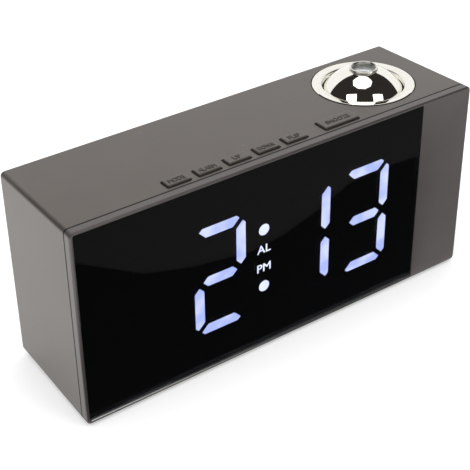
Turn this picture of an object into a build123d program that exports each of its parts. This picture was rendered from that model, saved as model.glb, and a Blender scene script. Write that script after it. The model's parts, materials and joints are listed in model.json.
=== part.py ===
from build123d import *

import math
import os

# Projection alarm clock, in millimetres.
# X runs along the case, -Y is the display side and +Z is up.
# The origin is on the table, under the middle of the case.

os.makedirs("parts", exist_ok=True)

# ---------------------------------------------------------------- driving sizes
# Case
case_length = 160.0
case_depth = 46.7
case_height = 72.7
draft_inset = 1.05  # each side leans in by this much from the front to the rear
corner_radius = 1.6
least_radius = 0.4
wall = 2.0
rear_edge_radius = 1.0
foot_height = 1.0  # air under the front edge of the case

# Front bezel
bezel_depth = 3.3
front_edge_radius = 0.7
seam_width = 0.3
seam_depth = 0.5
tongue_length = 0.9
tongue_wall = 1.2
fit_gap = 0.12
rim_side = 1.1
rim_edge = 0.85
plain_zone = 22.2  # width of the bare zone at the right of the display
core_depth = 1.1
core_margin = 2.0

# Display lens and digits
lens_thickness = 2.0
lens_recess = 0.25
lens_gap = 0.1
lens_corner_radius = 0.6
digit_height = 41.5
digit_width = 20.5
segment_width = 3.8
corner_back = 2.4  # from a digit's corner to the tip of the segment beside it
tip_depth = 1.2  # from the digit's outer edge in to that tip
joint_back = 1.55  # from the digit's middle line to a side segment's tip
middle_back = 3.5  # from the digit's side to the middle segment's tip
digit_pitch = 25.75
colon_space = 14.75
display_shift = 1.6  # from the window's middle to the colon
display_drop = 1.0  # from the case's middle height down to the digits' middle
dot_radius = 2.15
dot_spacing = 22.5
word_width = 6.4
word_height = 3.9
word_spacing = 7.45
mask_thickness = 0.15
fill_depth = 1.2
reflector_depth = 4.5
reflector_side = 1.3
reflector_edge = 3.0

# Boards
board_thickness = 1.6
thin_board = 1.2
board_spacing = 8.0
board_side = 5.4
board_foot = 2.4
display_screw_inset = 5.0  # from the reflector's top and bottom to the screws beside it
led_length = 2.8
led_width = 2.0
led_height = 0.8
main_board_inset = 2.0
main_board_width = 84.0
main_board_height = 46.0
board_corner = 1.0
header_length = 25.4
header_width = 5.0
spacer_inset = 4.0
chip_length = 18.0
chip_width = 7.6
chip_height = 2.3
chip_bevel = 0.3
crystal_radius = 1.0
crystal_length = 6.0

# Screws: shank and head radius, and the boss that takes each
small_shank = 0.9
small_head = 1.7
small_head_height = 1.2
small_boss = 2.2
case_shank = 1.1
case_head = 1.9
case_head_height = 1.6
case_tower = 3.4
thread_gap = 0.02
screw_gap = 0.15
pilot_depth = 4.0
display_pilot = 3.0
short_pilot = 2.0
case_pilot = 5.0
screw_fill = 0.8  # share of each pilot hole that its screw fills

# Keys, measured along the top face
key_width = 8.6
key_depth = 4.4
key_gap = 0.35
key_pitch = 11.44
flip_from_snooze = 18.87  # between the centres of the flip and snooze keys
snooze_to_dish = 0.31  # from the snooze key's side to the line of the dish's rim
key_row_from_front = 4.9
snooze_width = 14.4
snooze_depth = 6.0
key_proud = 0.7
key_corner = 0.5
key_edge = 0.45
key_travel = 0.6
flange_lap = 0.6
flange_thickness = 0.9
stem_radius = 1.6
stem_length = 2.5
plunger_radius = 1.7
plunger_proud = 1.0
plunger_seat = 1.3
plunger_gap = 0.06
switch_size = 6.0
switch_height = 3.5
switch_corner = 0.3
key_board_boss = 1.4
key_board_reach = 8.1  # from the first key's centre to the board's left end
body_gap = 0.3  # air between pieces that move past each other

# Projector
dish_from_right = 27.95
dish_front_land = 3.7  # flat top between the bezel and the dish
dish_rear_land = 3.49  # flat top between the dish and the rear edge
dish_gap = 0.25
hole_gap = 0.1
dish_rim = 0.2
dish_rim_width = 0.5
dish_land = 2.0  # width of the nearly flat part inside the rim
dish_land_fall = 0.25
dish_drop = 1.3
dish_lip = 0.9
dish_wall = 1.1
dish_bead = 0.45  # snap bead that grips under the top wall
ball_inset = 1.61  # from the dish's outside in to the ball's radius
ball_wall = 1.4
ball_depth = 10.3  # from the top face down to the ball's centre
ball_gap = 0.35
ball_split = 2.2
pin_radius = 1.5
pin_gap = 0.06
crown_drop = 0.8  # from the ball's top down to the flat under the focus ring
collar_radius = 5.0
collar_height = 0.7
collar_edge = 0.2
collar_mouth = 4.3
mouth_fall = 0.6  # depth over which the mouth narrows to the lens bore
notch_count = 4
notch_width = 2.6
notch_depth = 0.5
barrel_radius = 4.55
barrel_gap = 0.05
barrel_length = 5.8
guide_wall = 1.1
guide_length = 5.2
lens_bore = 4.0
lens_fit = 0.05
light_bore = 3.4
lens_seat = 1.4
projector_lens_edge = 0.8
projector_lens_crown = 0.75
cup_gap = 0.45
cup_wall = 1.45
cup_rim = 2.8
shoulder_radius = 8.5
shoulder_step = 1.88  # from the end of the cup's round outside down to its shoulder
journal_radius = 6.0
journal_bore = 4.5
journal_gap = 0.06
journal_past_clip = 0.5
plate_thickness = 1.8
plate_boss = 0.8
clip_thickness = 0.8
clip_radius = 8.0
post_radius = 2.3
post_gap = 1.2  # sideways, from the cup's outside to the posts' centres
post_reach_y = 8.5
lamp_board_inset = 1.6
lamp_gap = 1.0  # from the lamp's tip up to the condenser
slide_tube_radius = 5.2
slide_tube_gap = 1.2
slide_from_top = 2.8
slide_thickness = 1.0
slide_ledge = 1.5
condenser_edge = 0.8
condenser_crown = 1.2
lamp_radius = 2.5
lamp_flange = 2.9
lamp_height = 3.5
lamp_flange_height = 1.0
lead_hole = 5.0  # opening in the ball's underside for the lamp's wires
shell_lip_width = 1.0
shell_lip_below = 1.8
shell_lip_above = 1.2
lamp_ledge_width = 2.4

# Rear: battery bay, jack and buzzer
cell_radius = 5.25
cell_length = 44.5
cell_nub_radius = 1.9
cell_nub = 0.8
cell_gap = 0.5
contact_thickness = 0.4
contact_reach = 1.4
contact_radius = 2.2
contact_width = 7.4
contact_height = 8.4
bay_wall = 1.5
bay_from_jack = 46.0  # between the centres of the battery bay and the jack
bay_z = 26.0
door_width = 52.0
door_height = 25.0
door_thickness = 1.8
door_corner = 1.0
tab_width = 8.0
tab_thickness = 0.8
tab_length = 1.5
tab_root = 1.0  # how far each tab reaches up into the door
tab_spacing = 30.0
latch_width = 10.0
latch_length = 6.0
latch_slot = 0.8
grip_grooves = 4
grip_pitch = 1.1
grip_width = 0.5
jack_from_right = 66.0
jack_z = 14.0
jack_width = 9.5
jack_height = 11.0
jack_length = 12.0
jack_nose = 4.2
jack_bore = 3.1
jack_bore_depth = 9.5
jack_pin_radius = 1.0
jack_pin_length = 8.5
power_board_width = 24.0
power_board_depth = 19.0
power_boss = 1.9
power_boss_inset = 3.0
capacitor_radius = 3.15
capacitor_height = 7.0
capacitor_edge = 0.4
buzzer_from_right = 34.0
buzzer_z = 24.0
buzzer_radius = 8.5
buzzer_height = 4.0
buzzer_rib = 1.2
buzzer_ring_height = 3.0
sound_hole = 0.75
sound_ring = 3.0

# Feet and case screws
foot_radius = 4.0
foot_pocket = 0.8
foot_from_side = 12.0
foot_from_end = 8.8
tower_from_side = 5.5
tower_low = 7.0
tower_high = 7.7
tower_right_z = 33.0
tower_front = 9.3  # from the display side back to where the towers end
tower_seat = 2.5
tower_boss = 3.0  # the bezel's boss that meets each tower

# ---------------------------------------------------------------- shared places
through = 2 * wall  # depth of a cut that has to pass the wall
front_y = -case_depth / 2
rear_y = case_depth / 2
seam_y = front_y + bezel_depth
case_mid_z = foot_height + case_height / 2
case_left = -case_length / 2
case_right = case_length / 2
draft_angle = math.atan2(draft_inset, case_depth)

lens_front_y = front_y + lens_recess
lens_rear_y = lens_front_y + lens_thickness
mask_rear_y = lens_rear_y + mask_thickness
reflector_rear_y = mask_rear_y + reflector_depth
display_board_rear_y = reflector_rear_y + board_thickness
main_board_front_y = display_board_rear_y + board_spacing
main_board_rear_y = main_board_front_y + board_thickness
rear_wall_y = rear_y - wall

# The top face leans down towards the rear, and the keys and the projector stand square to it.
top_plane = Plane(
    origin=(0, front_y, foot_height + case_height),
    x_dir=(1, 0, 0),
    z_dir=(0, math.sin(draft_angle), math.cos(draft_angle)),
)
top_length = case_depth / math.cos(draft_angle)
dish_radius = (top_length - bezel_depth - dish_front_land - dish_rear_land) / 2
dish_x = case_right - dish_from_right
dish_v = bezel_depth + dish_front_land + dish_radius
dish_plane = Plane(
    origin=top_plane.from_local_coords((dish_x, dish_v, 0)),
    x_dir=top_plane.x_dir,
    z_dir=top_plane.z_dir,
)
ball_plane = dish_plane.offset(-ball_depth)
ball_section = Plane(origin=ball_plane.origin, x_dir=ball_plane.x_dir, z_dir=-ball_plane.y_dir)
ball_axis = Axis(origin=ball_plane.origin, direction=ball_plane.z_dir)
ball_radius = dish_radius - ball_inset
inner_radius = ball_radius - ball_wall
cup_inner = ball_radius + cup_gap
cup_outer = cup_inner + cup_wall


# ---------------------------------------------------------------- helpers
def front_plane(y):
    """Upright plane at depth y: its x is X, its y is Z, and it faces the display side."""
    return Plane.XZ.offset(-y)


def draft_at(y):
    """How far the sides have leant in at depth y."""
    return draft_inset * (y - front_y) / case_depth


def case_outline(y, gap=0.0):
    """Outline of the case at depth y, pulled in by gap on every side."""
    inset = draft_at(y) + gap
    radius = max(corner_radius - gap, least_radius)
    with BuildSketch(front_plane(y)) as outline:
        with Locations((0, case_mid_z)):
            RectangleRounded(case_length - 2 * inset, case_height - 2 * inset, radius)
    return outline.sketch


def circles(plane, points, radius):
    """Equal circles at the given points of a plane."""
    with BuildSketch(plane) as sketch:
        with Locations(*points):
            Circle(radius)
    return sketch.sketch


def rectangles(plane, points, width, height, radius=0.0):
    """Equal rectangles, with rounded corners if radius is given."""
    with BuildSketch(plane) as sketch:
        with Locations(*points):
            if radius > 0:
                RectangleRounded(width, height, radius)
            else:
                Rectangle(width, height)
    return sketch.sketch


def turned(points):
    """Closed profile in the plane of the ball's axis: x is the radius, y the height over its centre."""
    with BuildSketch(ball_section) as sketch:
        with BuildLine():
            Polyline(*points, close=True)
        make_face()
    return sketch.sketch


def ball_reach(height, radius):
    """Radius at which a sphere about the ball's centre stands at the given height."""
    return math.sqrt(radius**2 - height**2)


# ---------------------------------------------------------------- points shared by pieces
lens_left = case_left + rim_side
lens_right = case_right - plain_zone
lens_centre = ((lens_left + lens_right) / 2, case_mid_z)
lens_width = lens_right - lens_left
lens_height = case_height - 2 * rim_edge

display_x = lens_centre[0] + display_shift
inner_digit = (colon_space + digit_width) / 2
digit_xs = [
    display_x - inner_digit - digit_pitch,
    display_x - inner_digit,
    display_x + inner_digit,
    display_x + inner_digit + digit_pitch,
]
reflector_width = 2 * (inner_digit + digit_pitch) + digit_width + 2 * reflector_side
reflector_height = digit_height + 2 * reflector_edge
reflector_left = display_x - reflector_width / 2
reflector_right = display_x + reflector_width / 2
display_z = case_mid_z - display_drop
reflector_bottom = display_z - reflector_height / 2
reflector_top = display_z + reflector_height / 2

dot_points = [(display_x, display_z + side * dot_spacing / 2) for side in (-1, 1)]
word_points = [(display_x, display_z + side * word_spacing / 2) for side in (-1, 1)]

board_left = reflector_left - board_side
board_right = reflector_right + board_side
board_bottom = reflector_bottom - board_foot
cup_room = cup_outer + 2 * body_gap
cup_to_board = ball_plane.origin.Y - display_board_rear_y
cup_reach = ball_reach(min(cup_to_board, cup_room), cup_room)
notch_left = ball_plane.origin.X - cup_reach
notch_bottom = ball_plane.origin.Z - cup_room
display_screw_points = [
    (board_left + board_side / 2, reflector_bottom + display_screw_inset),
    (board_left + board_side / 2, reflector_top - display_screw_inset),
    (board_right - board_side / 2, reflector_bottom + display_screw_inset),
    (board_right - board_side / 2, notch_bottom - display_screw_inset),
]

main_centre = (reflector_left + main_board_inset + main_board_width / 2, case_mid_z)
spacer_reach_x = main_board_width / 2 - spacer_inset
spacer_reach_z = main_board_height / 2 - spacer_inset
spacer_points = [
    (main_centre[0] + side_x * spacer_reach_x, main_centre[1] + side_z * spacer_reach_z)
    for side_x in (-1, 1)
    for side_z in (-1, 1)
]

# The key row is set out from the projector: the snooze key beside the dish, then the five small keys.
snooze_x = dish_x - dish_radius - snooze_to_dish - snooze_width / 2
small_keys = ["mode", "alarm", "up", "down", "flip"]
first_key_x = snooze_x - flip_from_snooze - (len(small_keys) - 1) * key_pitch
keys = {
    name: (first_key_x + place * key_pitch, key_width, key_depth) for place, name in enumerate(small_keys)
}
keys["snooze"] = (snooze_x, snooze_width, snooze_depth)


def key_centre(name):
    """Centre of a key on the top plane: all the keys line up at their front edge."""
    x, _, depth = keys[name]
    return (x, key_row_from_front + key_gap + depth / 2)


flange_top = wall + body_gap
stem_top = flange_top + flange_thickness
plunger_top = stem_top + stem_length
switch_top = plunger_top + plunger_proud
key_board_top = switch_top + switch_height
key_board_left = keys["mode"][0] - key_board_reach
key_board_right = snooze_x + snooze_width / 2 + flange_lap + 2 * body_gap
key_board_front = key_row_from_front
flange_rear = key_row_from_front + 2 * key_gap + key_depth + flange_lap
key_board_screw_v = flange_rear + 2 * body_gap + key_board_boss
snooze_screw_v = key_board_screw_v + snooze_depth - key_depth
key_board_rear = snooze_screw_v + key_board_boss
key_board_points = [
    (keys["mode"][0] - key_pitch / 2, key_board_screw_v),
    (keys["up"][0], key_board_screw_v),
    (keys["flip"][0] + key_width / 2 + key_board_boss, key_board_screw_v),
    (snooze_x, snooze_screw_v),
]

tower_x = case_right - tower_from_side
tower_points = [
    (-tower_x, foot_height + tower_low),
    (-tower_x, foot_height + case_height - tower_high),
    (tower_x, foot_height + tower_low),
    (tower_x, foot_height + tower_right_z),
]
tower_front_y = front_y + tower_front

foot_points = [
    (side * (case_right - foot_from_side), end)
    for side in (-1, 1)
    for end in (front_y + foot_from_end, rear_y - foot_from_end)
]

jack_x = case_right - jack_from_right
bay_x = jack_x - bay_from_jack
bay_length = cell_length + 2 * (contact_thickness + contact_reach)
bay_height = 4 * cell_radius + 3 * cell_gap
door_rear_gap_y = rear_y - door_thickness - body_gap
bay_floor_y = door_rear_gap_y - 2 * cell_radius - 2 * cell_gap
cell_y = door_rear_gap_y - cell_gap - cell_radius
cell_zs = [bay_z + side * (cell_radius + cell_gap / 2) for side in (-1, 1)]
recess_width = door_width + 2 * body_gap
recess_height = door_height + 2 * body_gap
tab_swing = math.hypot(door_thickness, tab_length) + body_gap  # what a tab sweeps as the door opens
door_bottom = bay_z - recess_height / 2
tab_points = [(bay_x + side * tab_spacing / 2, door_bottom) for side in (-1, 1)]

power_board_top = jack_z - jack_height / 2
power_board_bottom = power_board_top - board_thickness
power_board_y = rear_wall_y - power_board_depth / 2
power_boss_points = [
    (
        jack_x + side_x * (power_board_width / 2 - power_boss_inset),
        power_board_y + side_y * (power_board_depth / 2 - power_boss_inset),
    )
    for side_x in (-1, 1)
    for side_y in (-1, 1)
]
buzzer_point = (case_right - buzzer_from_right, buzzer_z)

crown_height = ball_radius - crown_drop
collar_bottom = crown_height + body_gap
collar_top = collar_bottom + collar_height
barrel_bottom = collar_bottom - barrel_length
slide_tube_top = barrel_bottom - slide_tube_gap
slide_drop = slide_tube_top - slide_from_top
condenser_bottom = slide_drop - slide_ledge - condenser_edge - condenser_crown
lamp_board_drop = lamp_gap + lamp_height + lamp_radius - condenser_bottom
lamp_ledge = ball_reach(lamp_board_drop + thin_board, inner_radius)

post_reach_x = cup_outer + post_gap
shoulder_drop = ball_reach(shoulder_radius, cup_outer) + shoulder_step
post_points = [(side_x * post_reach_x, side_y * post_reach_y) for side_x in (-1, 1) for side_y in (-1, 1)]
plate_top = shoulder_drop + body_gap + plate_boss
plate_bottom = plate_top + plate_thickness


# ---------------------------------------------------------------- display window shapes
def segment_points(letter, cell_x):
    """Outline of one segment of a digit whose cell is centred at cell_x."""
    half_w = digit_width / 2
    half_h = digit_height / 2
    inner_run = segment_width - tip_depth
    half_t = segment_width / 2
    top_bar = [
        (-half_w + corner_back, half_h - tip_depth),
        (-half_w + corner_back + tip_depth, half_h),
        (half_w - corner_back - tip_depth, half_h),
        (half_w - corner_back, half_h - tip_depth),
        (half_w - corner_back - inner_run, half_h - segment_width),
        (-half_w + corner_back + inner_run, half_h - segment_width),
    ]
    side_bar = [
        (half_w - tip_depth, half_h - corner_back),
        (half_w, half_h - corner_back - tip_depth),
        (half_w, joint_back + half_t),
        (half_w - half_t, joint_back),
        (half_w - segment_width, joint_back + half_t),
        (half_w - segment_width, half_h - corner_back - inner_run),
    ]
    middle_bar = [
        (-half_w + middle_back, 0),
        (-half_w + middle_back + half_t, half_t),
        (half_w - middle_back - half_t, half_t),
        (half_w - middle_back, 0),
        (half_w - middle_back - half_t, -half_t),
        (-half_w + middle_back + half_t, -half_t),
    ]
    shape, flip_x, flip_z = {
        "a": (top_bar, 1, 1),
        "b": (side_bar, 1, 1),
        "c": (side_bar, 1, -1),
        "d": (top_bar, 1, -1),
        "e": (side_bar, -1, -1),
        "f": (side_bar, -1, 1),
        "g": (middle_bar, 1, 1),
    }[letter]
    return [(cell_x + flip_x * x, display_z + flip_z * z) for x, z in shape]


def segment_windows(plane, letters_by_cell):
    """Sketch of the segments named for each of the four digit cells."""
    with BuildSketch(plane) as windows:
        for cell_x, letters in zip(digit_xs, letters_by_cell):
            for letter in letters:
                with BuildLine():
                    Polyline(*segment_points(letter, cell_x), close=True)
                make_face()
    return windows.sketch


all_letters = ["abcdefg"] * 4
lit_letters = ["", "abged", "bc", "abgcd"]  # the time reads 2:13
unlit_letters = [
    "".join(letter for letter in "abcdefg" if letter not in lit) for lit in lit_letters
]

# ---------------------------------------------------------------- rear housing
with BuildPart() as rear_housing:
    loft([case_outline(seam_y), case_outline(rear_y)], ruled=True)
    fillet(rear_housing.faces().sort_by(Axis.Y)[-1].edges(), rear_edge_radius)
    loft([case_outline(seam_y, wall), case_outline(rear_wall_y, wall)], ruled=True, mode=Mode.SUBTRACT)
    # shadow groove where the bezel meets the housing
    with BuildSketch(front_plane(seam_y)):
        with Locations((0, case_mid_z)):
            Rectangle(case_length + 2, case_height + 2)
            RectangleRounded(
                case_length - 2 * (draft_at(seam_y) + seam_depth),
                case_height - 2 * (draft_at(seam_y) + seam_depth),
                corner_radius - seam_depth,
                mode=Mode.SUBTRACT,
            )
    extrude(amount=-seam_width, mode=Mode.SUBTRACT)
    # hanging bosses of the key board and long posts of the swivel plate
    ceiling = top_plane.offset(-wall / 2)
    extrude(circles(ceiling, key_board_points, key_board_boss), amount=-(key_board_top - wall / 2))
    post_sketch = circles(dish_plane.offset(-wall / 2), post_points, post_radius)
    extrude(post_sketch, amount=-(ball_depth + plate_top - wall / 2))
    # screw towers, power board bosses and buzzer ring
    rear_skin = front_plane(rear_y - wall / 2)
    extrude(circles(rear_skin, tower_points, case_tower), amount=rear_y - wall / 2 - tower_front_y)
    floor_skin = Plane.XY.offset(foot_height + wall)
    power_boss_height = power_board_bottom - foot_height - wall
    extrude(circles(floor_skin, power_boss_points, power_boss), amount=power_boss_height)
    with BuildSketch(rear_skin):
        with Locations(buzzer_point):
            Circle(buzzer_radius + fit_gap + buzzer_rib)
            Circle(buzzer_radius + fit_gap, mode=Mode.SUBTRACT)
    extrude(amount=buzzer_ring_height + wall / 2)
    # battery bay
    for room_width, room_height, room_floor_y in (
        (recess_width, recess_height, door_rear_gap_y),
        (bay_length, bay_height, bay_floor_y),
    ):
        room = rectangles(rear_skin, [(bay_x, bay_z)], room_width + 2 * bay_wall, room_height + 2 * bay_wall)
        extrude(room, amount=rear_y - wall / 2 - room_floor_y + bay_wall)
    tab_slots = rectangles(
        front_plane(rear_y - door_thickness + tab_thickness + body_gap),
        [(x, z - tab_length / 2) for x, z in tab_points],
        tab_width + 2 * body_gap,
        tab_length + 2 * body_gap,
    )
    extrude(
        tab_slots,
        amount=tab_swing - door_thickness + tab_thickness + body_gap,
        mode=Mode.SUBTRACT,
    )
    door_recess = rectangles(
        front_plane(rear_y), [(bay_x, bay_z)], recess_width, recess_height, door_corner + body_gap
    )
    extrude(door_recess, amount=rear_y - door_rear_gap_y, mode=Mode.SUBTRACT)
    cell_pocket = rectangles(front_plane(door_rear_gap_y), [(bay_x, bay_z)], bay_length, bay_height)
    extrude(cell_pocket, amount=door_rear_gap_y - bay_floor_y, mode=Mode.SUBTRACT)
    # openings in the top
    for name, (_, width, depth) in keys.items():
        window = rectangles(
            top_plane, [key_centre(name)], width + 2 * key_gap, depth + 2 * key_gap, key_corner + key_gap
        )
        extrude(window, amount=through, both=True, mode=Mode.SUBTRACT)
    dish_hole = circles(dish_plane, [(0, 0)], dish_radius + dish_gap)
    extrude(dish_hole, amount=through, both=True, mode=Mode.SUBTRACT)
    # openings in the rear
    extrude(
        circles(front_plane(rear_y), [(jack_x, jack_z)], jack_nose + hole_gap),
        amount=through,
        both=True,
        mode=Mode.SUBTRACT,
    )
    with BuildSketch(front_plane(rear_y)):
        with Locations(buzzer_point):
            Circle(sound_hole)
            with PolarLocations(sound_ring, 6):
                Circle(sound_hole)
            with PolarLocations(2 * sound_ring, 12):
                Circle(sound_hole)
    extrude(amount=through, both=True, mode=Mode.SUBTRACT)
    # deep recesses for the case screws, then the holes for their shanks
    recess_depth = rear_y - tower_front_y - tower_seat
    extrude(
        circles(front_plane(rear_y), tower_points, case_head + 2 * screw_gap),
        amount=recess_depth,
        mode=Mode.SUBTRACT,
    )
    extrude(
        circles(front_plane(tower_front_y), tower_points, case_shank + screw_gap),
        amount=2 * tower_seat,
        both=True,
        mode=Mode.SUBTRACT,
    )
    # pilot holes in the bosses and posts
    extrude(
        circles(top_plane.offset(-key_board_top), key_board_points, small_shank + thread_gap),
        amount=pilot_depth,
        mode=Mode.SUBTRACT,
    )
    extrude(
        circles(ball_plane.offset(-plate_top), post_points, small_shank + thread_gap),
        amount=pilot_depth,
        mode=Mode.SUBTRACT,
    )
    extrude(
        circles(Plane.XY.offset(power_board_bottom), power_boss_points, small_shank + thread_gap),
        amount=-short_pilot,
        mode=Mode.SUBTRACT,
    )
    # foot pockets in the underside
    for x, y in foot_points:
        extrude(
            circles(Plane.XY, [(x, y)], foot_radius + hole_gap),
            amount=foot_height + draft_at(y) + foot_pocket,
            mode=Mode.SUBTRACT,
        )
rear_housing.part.label = "rear_housing"
export_step(rear_housing.part, "parts/rear_housing.step")

# ---------------------------------------------------------------- front bezel
with BuildPart() as front_bezel:
    loft([case_outline(front_y), case_outline(seam_y)], ruled=True)
    fillet(front_bezel.faces().sort_by(Axis.Y)[0].edges(), front_edge_radius)
    tongue_gap = wall + fit_gap
    tongue_end_y = seam_y + tongue_length
    web_y = seam_y - bezel_depth / 4
    loft([case_outline(web_y, tongue_gap), case_outline(tongue_end_y, tongue_gap)], ruled=True)
    loft(
        [case_outline(y, tongue_gap + tongue_wall) for y in (seam_y, tongue_end_y)],
        ruled=True,
        mode=Mode.SUBTRACT,
    )
    tower_boss_length = tower_front_y - web_y
    extrude(circles(front_plane(tower_front_y), tower_points, tower_boss), amount=tower_boss_length)
    board_bosses = circles(front_plane(reflector_rear_y), display_screw_points, small_boss)
    extrude(board_bosses, amount=reflector_rear_y - web_y)
    # pocket for the lens, window for the reflector and a core behind the plain zone
    extrude(
        rectangles(
            front_plane(lens_rear_y),
            [lens_centre],
            lens_width + 2 * lens_gap,
            lens_height + 2 * lens_gap,
            lens_corner_radius,
        ),
        amount=bezel_depth,
        mode=Mode.SUBTRACT,
    )
    extrude(
        rectangles(
            front_plane(seam_y),
            [(display_x, display_z)],
            reflector_width + 2 * fit_gap,
            reflector_height + 2 * fit_gap,
        ),
        amount=bezel_depth,
        mode=Mode.SUBTRACT,
    )
    core_left = lens_right + core_margin
    core_right = tower_x - case_tower
    extrude(
        rectangles(
            front_plane(seam_y),
            [((core_left + core_right) / 2, case_mid_z)],
            core_right - core_left,
            case_height - 2 * (tongue_gap + tongue_wall + core_margin),
            least_radius,
        ),
        amount=core_depth,
        mode=Mode.SUBTRACT,
    )
    extrude(
        circles(front_plane(tower_front_y), tower_points, case_shank + thread_gap),
        amount=case_pilot,
        mode=Mode.SUBTRACT,
    )
    extrude(
        circles(front_plane(reflector_rear_y), display_screw_points, small_shank + thread_gap),
        amount=display_pilot,
        mode=Mode.SUBTRACT,
    )
front_bezel.part.label = "front_bezel"
export_step(front_bezel.part, "parts/front_bezel.step")

# ---------------------------------------------------------------- display
with BuildPart() as display_lens:
    lens_back = front_plane(lens_rear_y)
    extrude(
        rectangles(lens_back, [lens_centre], lens_width, lens_height, lens_corner_radius),
        amount=lens_thickness,
    )
    chamfer(display_lens.faces().sort_by(Axis.Y)[0].edges(), lens_gap)
display_lens.part.label = "display_lens"
export_step(display_lens.part, "parts/display_lens.step")

with BuildPart() as segment_mask:
    mask_sketch = rectangles(
        front_plane(mask_rear_y), [(display_x, display_z)], reflector_width, reflector_height
    )
    extrude(mask_sketch, amount=mask_thickness)
    extrude(segment_windows(front_plane(mask_rear_y), all_letters), amount=mask_thickness, mode=Mode.SUBTRACT)
    extrude(
        circles(front_plane(mask_rear_y), dot_points, dot_radius), amount=mask_thickness, mode=Mode.SUBTRACT
    )
    extrude(
        rectangles(front_plane(mask_rear_y), word_points, word_width, word_height),
        amount=mask_thickness,
        mode=Mode.SUBTRACT,
    )
segment_mask.part.label = "segment_mask"
export_step(segment_mask.part, "parts/segment_mask.step")

with BuildPart() as digit_reflector:
    block_plane = front_plane(reflector_rear_y)
    extrude(
        rectangles(block_plane, [(display_x, display_z)], reflector_width, reflector_height),
        amount=reflector_depth,
    )
    extrude(segment_windows(block_plane, all_letters), amount=reflector_depth, mode=Mode.SUBTRACT)
    extrude(circles(block_plane, dot_points, dot_radius), amount=reflector_depth, mode=Mode.SUBTRACT)
    extrude(
        rectangles(block_plane, word_points, word_width, word_height),
        amount=reflector_depth,
        mode=Mode.SUBTRACT,
    )
digit_reflector.part.label = "digit_reflector"
export_step(digit_reflector.part, "parts/digit_reflector.step")

fill_plane = front_plane(mask_rear_y + fill_depth)
with BuildPart() as lit_segments:
    extrude(segment_windows(fill_plane, lit_letters), amount=fill_depth)
lit_segments.part.label = "lit_segments"
export_step(lit_segments.part, "parts/lit_segments.step")

with BuildPart() as unlit_segments:
    extrude(segment_windows(fill_plane, unlit_letters), amount=fill_depth)
unlit_segments.part.label = "unlit_segments"
export_step(unlit_segments.part, "parts/unlit_segments.step")

with BuildPart() as colon_dots:
    extrude(circles(fill_plane, dot_points, dot_radius), amount=fill_depth)
colon_dots.part.label = "colon_dots"
export_step(colon_dots.part, "parts/colon_dots.step")

with BuildPart() as word_windows:
    extrude(rectangles(fill_plane, word_points, word_width, word_height), amount=fill_depth)
word_windows.part.label = "word_windows"
export_step(word_windows.part, "parts/word_windows.step")

with BuildPart() as segment_leds:
    led_points = dot_points + word_points
    for cell_x in digit_xs:
        for letter in "abcdefg":
            corners = segment_points(letter, cell_x)
            mean_x = sum(x for x, _ in corners) / len(corners)
            mean_z = sum(z for _, z in corners) / len(corners)
            led_points.append((mean_x, mean_z))
    led_sketch = rectangles(front_plane(reflector_rear_y), led_points, led_length, led_width)
    extrude(led_sketch, amount=led_height)
segment_leds.part.label = "segment_leds"
export_step(segment_leds.part, "parts/segment_leds.step")

with BuildPart() as display_board:
    with BuildSketch(front_plane(display_board_rear_y)):
        with Locations(((board_left + board_right) / 2, (board_bottom + reflector_top) / 2)):
            Rectangle(board_right - board_left, reflector_top - board_bottom)
        # notch that leaves room for the swivel cup
        with Locations((notch_left, notch_bottom)):
            Rectangle(case_length, case_height, align=(Align.MIN, Align.MIN), mode=Mode.SUBTRACT)
        with Locations(*display_screw_points):
            Circle(small_shank + screw_gap, mode=Mode.SUBTRACT)
    extrude(amount=board_thickness)
display_board.part.label = "display_board"
export_step(display_board.part, "parts/display_board.step")

with BuildPart() as display_screws:
    board_rear = front_plane(display_board_rear_y)
    extrude(circles(board_rear, display_screw_points, small_head), amount=-small_head_height)
    extrude(
        circles(board_rear, display_screw_points, small_shank),
        amount=board_thickness + screw_fill * display_pilot,
    )
display_screws.part.label = "display_screws"
export_step(display_screws.part, "parts/display_screws.step")

# ---------------------------------------------------------------- main board
with BuildPart() as board_spacers:
    extrude(circles(front_plane(main_board_front_y), spacer_points, small_boss), amount=board_spacing)
    extrude(
        circles(front_plane(main_board_front_y), spacer_points, small_shank + thread_gap),
        amount=pilot_depth,
        mode=Mode.SUBTRACT,
    )
board_spacers.part.label = "board_spacers"
export_step(board_spacers.part, "parts/board_spacers.step")

header_point = (main_centre[0], main_centre[1] - main_board_height / 2 + header_width)
with BuildPart() as board_header:
    header_sketch = rectangles(front_plane(main_board_front_y), [header_point], header_length, header_width)
    extrude(header_sketch, amount=board_spacing)
board_header.part.label = "board_header"
export_step(board_header.part, "parts/board_header.step")

with BuildPart() as main_board:
    board_plane = front_plane(main_board_rear_y)
    extrude(
        rectangles(board_plane, [main_centre], main_board_width, main_board_height, board_corner),
        amount=board_thickness,
    )
    extrude(
        circles(board_plane, spacer_points, small_shank + screw_gap),
        amount=board_thickness,
        mode=Mode.SUBTRACT,
    )
main_board.part.label = "main_board"
export_step(main_board.part, "parts/main_board.step")

with BuildPart() as main_board_screws:
    extrude(circles(front_plane(main_board_rear_y), spacer_points, small_head), amount=-small_head_height)
    extrude(
        circles(front_plane(main_board_rear_y), spacer_points, small_shank),
        amount=board_thickness + screw_fill * pilot_depth,
    )
main_board_screws.part.label = "main_board_screws"
export_step(main_board_screws.part, "parts/main_board_screws.step")

with BuildPart() as controller_chip:
    extrude(
        rectangles(front_plane(main_board_rear_y), [main_centre], chip_length, chip_width),
        amount=-chip_height,
    )
    chamfer(controller_chip.faces().sort_by(Axis.Y)[-1].edges(), chip_bevel)
controller_chip.part.label = "controller_chip"
export_step(controller_chip.part, "parts/controller_chip.step")

crystal_plane = Plane.YZ.offset(main_centre[0] + chip_length)
with BuildPart() as clock_crystal:
    extrude(
        circles(crystal_plane, [(main_board_rear_y + crystal_radius, main_centre[1])], crystal_radius),
        amount=crystal_length,
    )
clock_crystal.part.label = "clock_crystal"
export_step(clock_crystal.part, "parts/clock_crystal.step")

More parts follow.
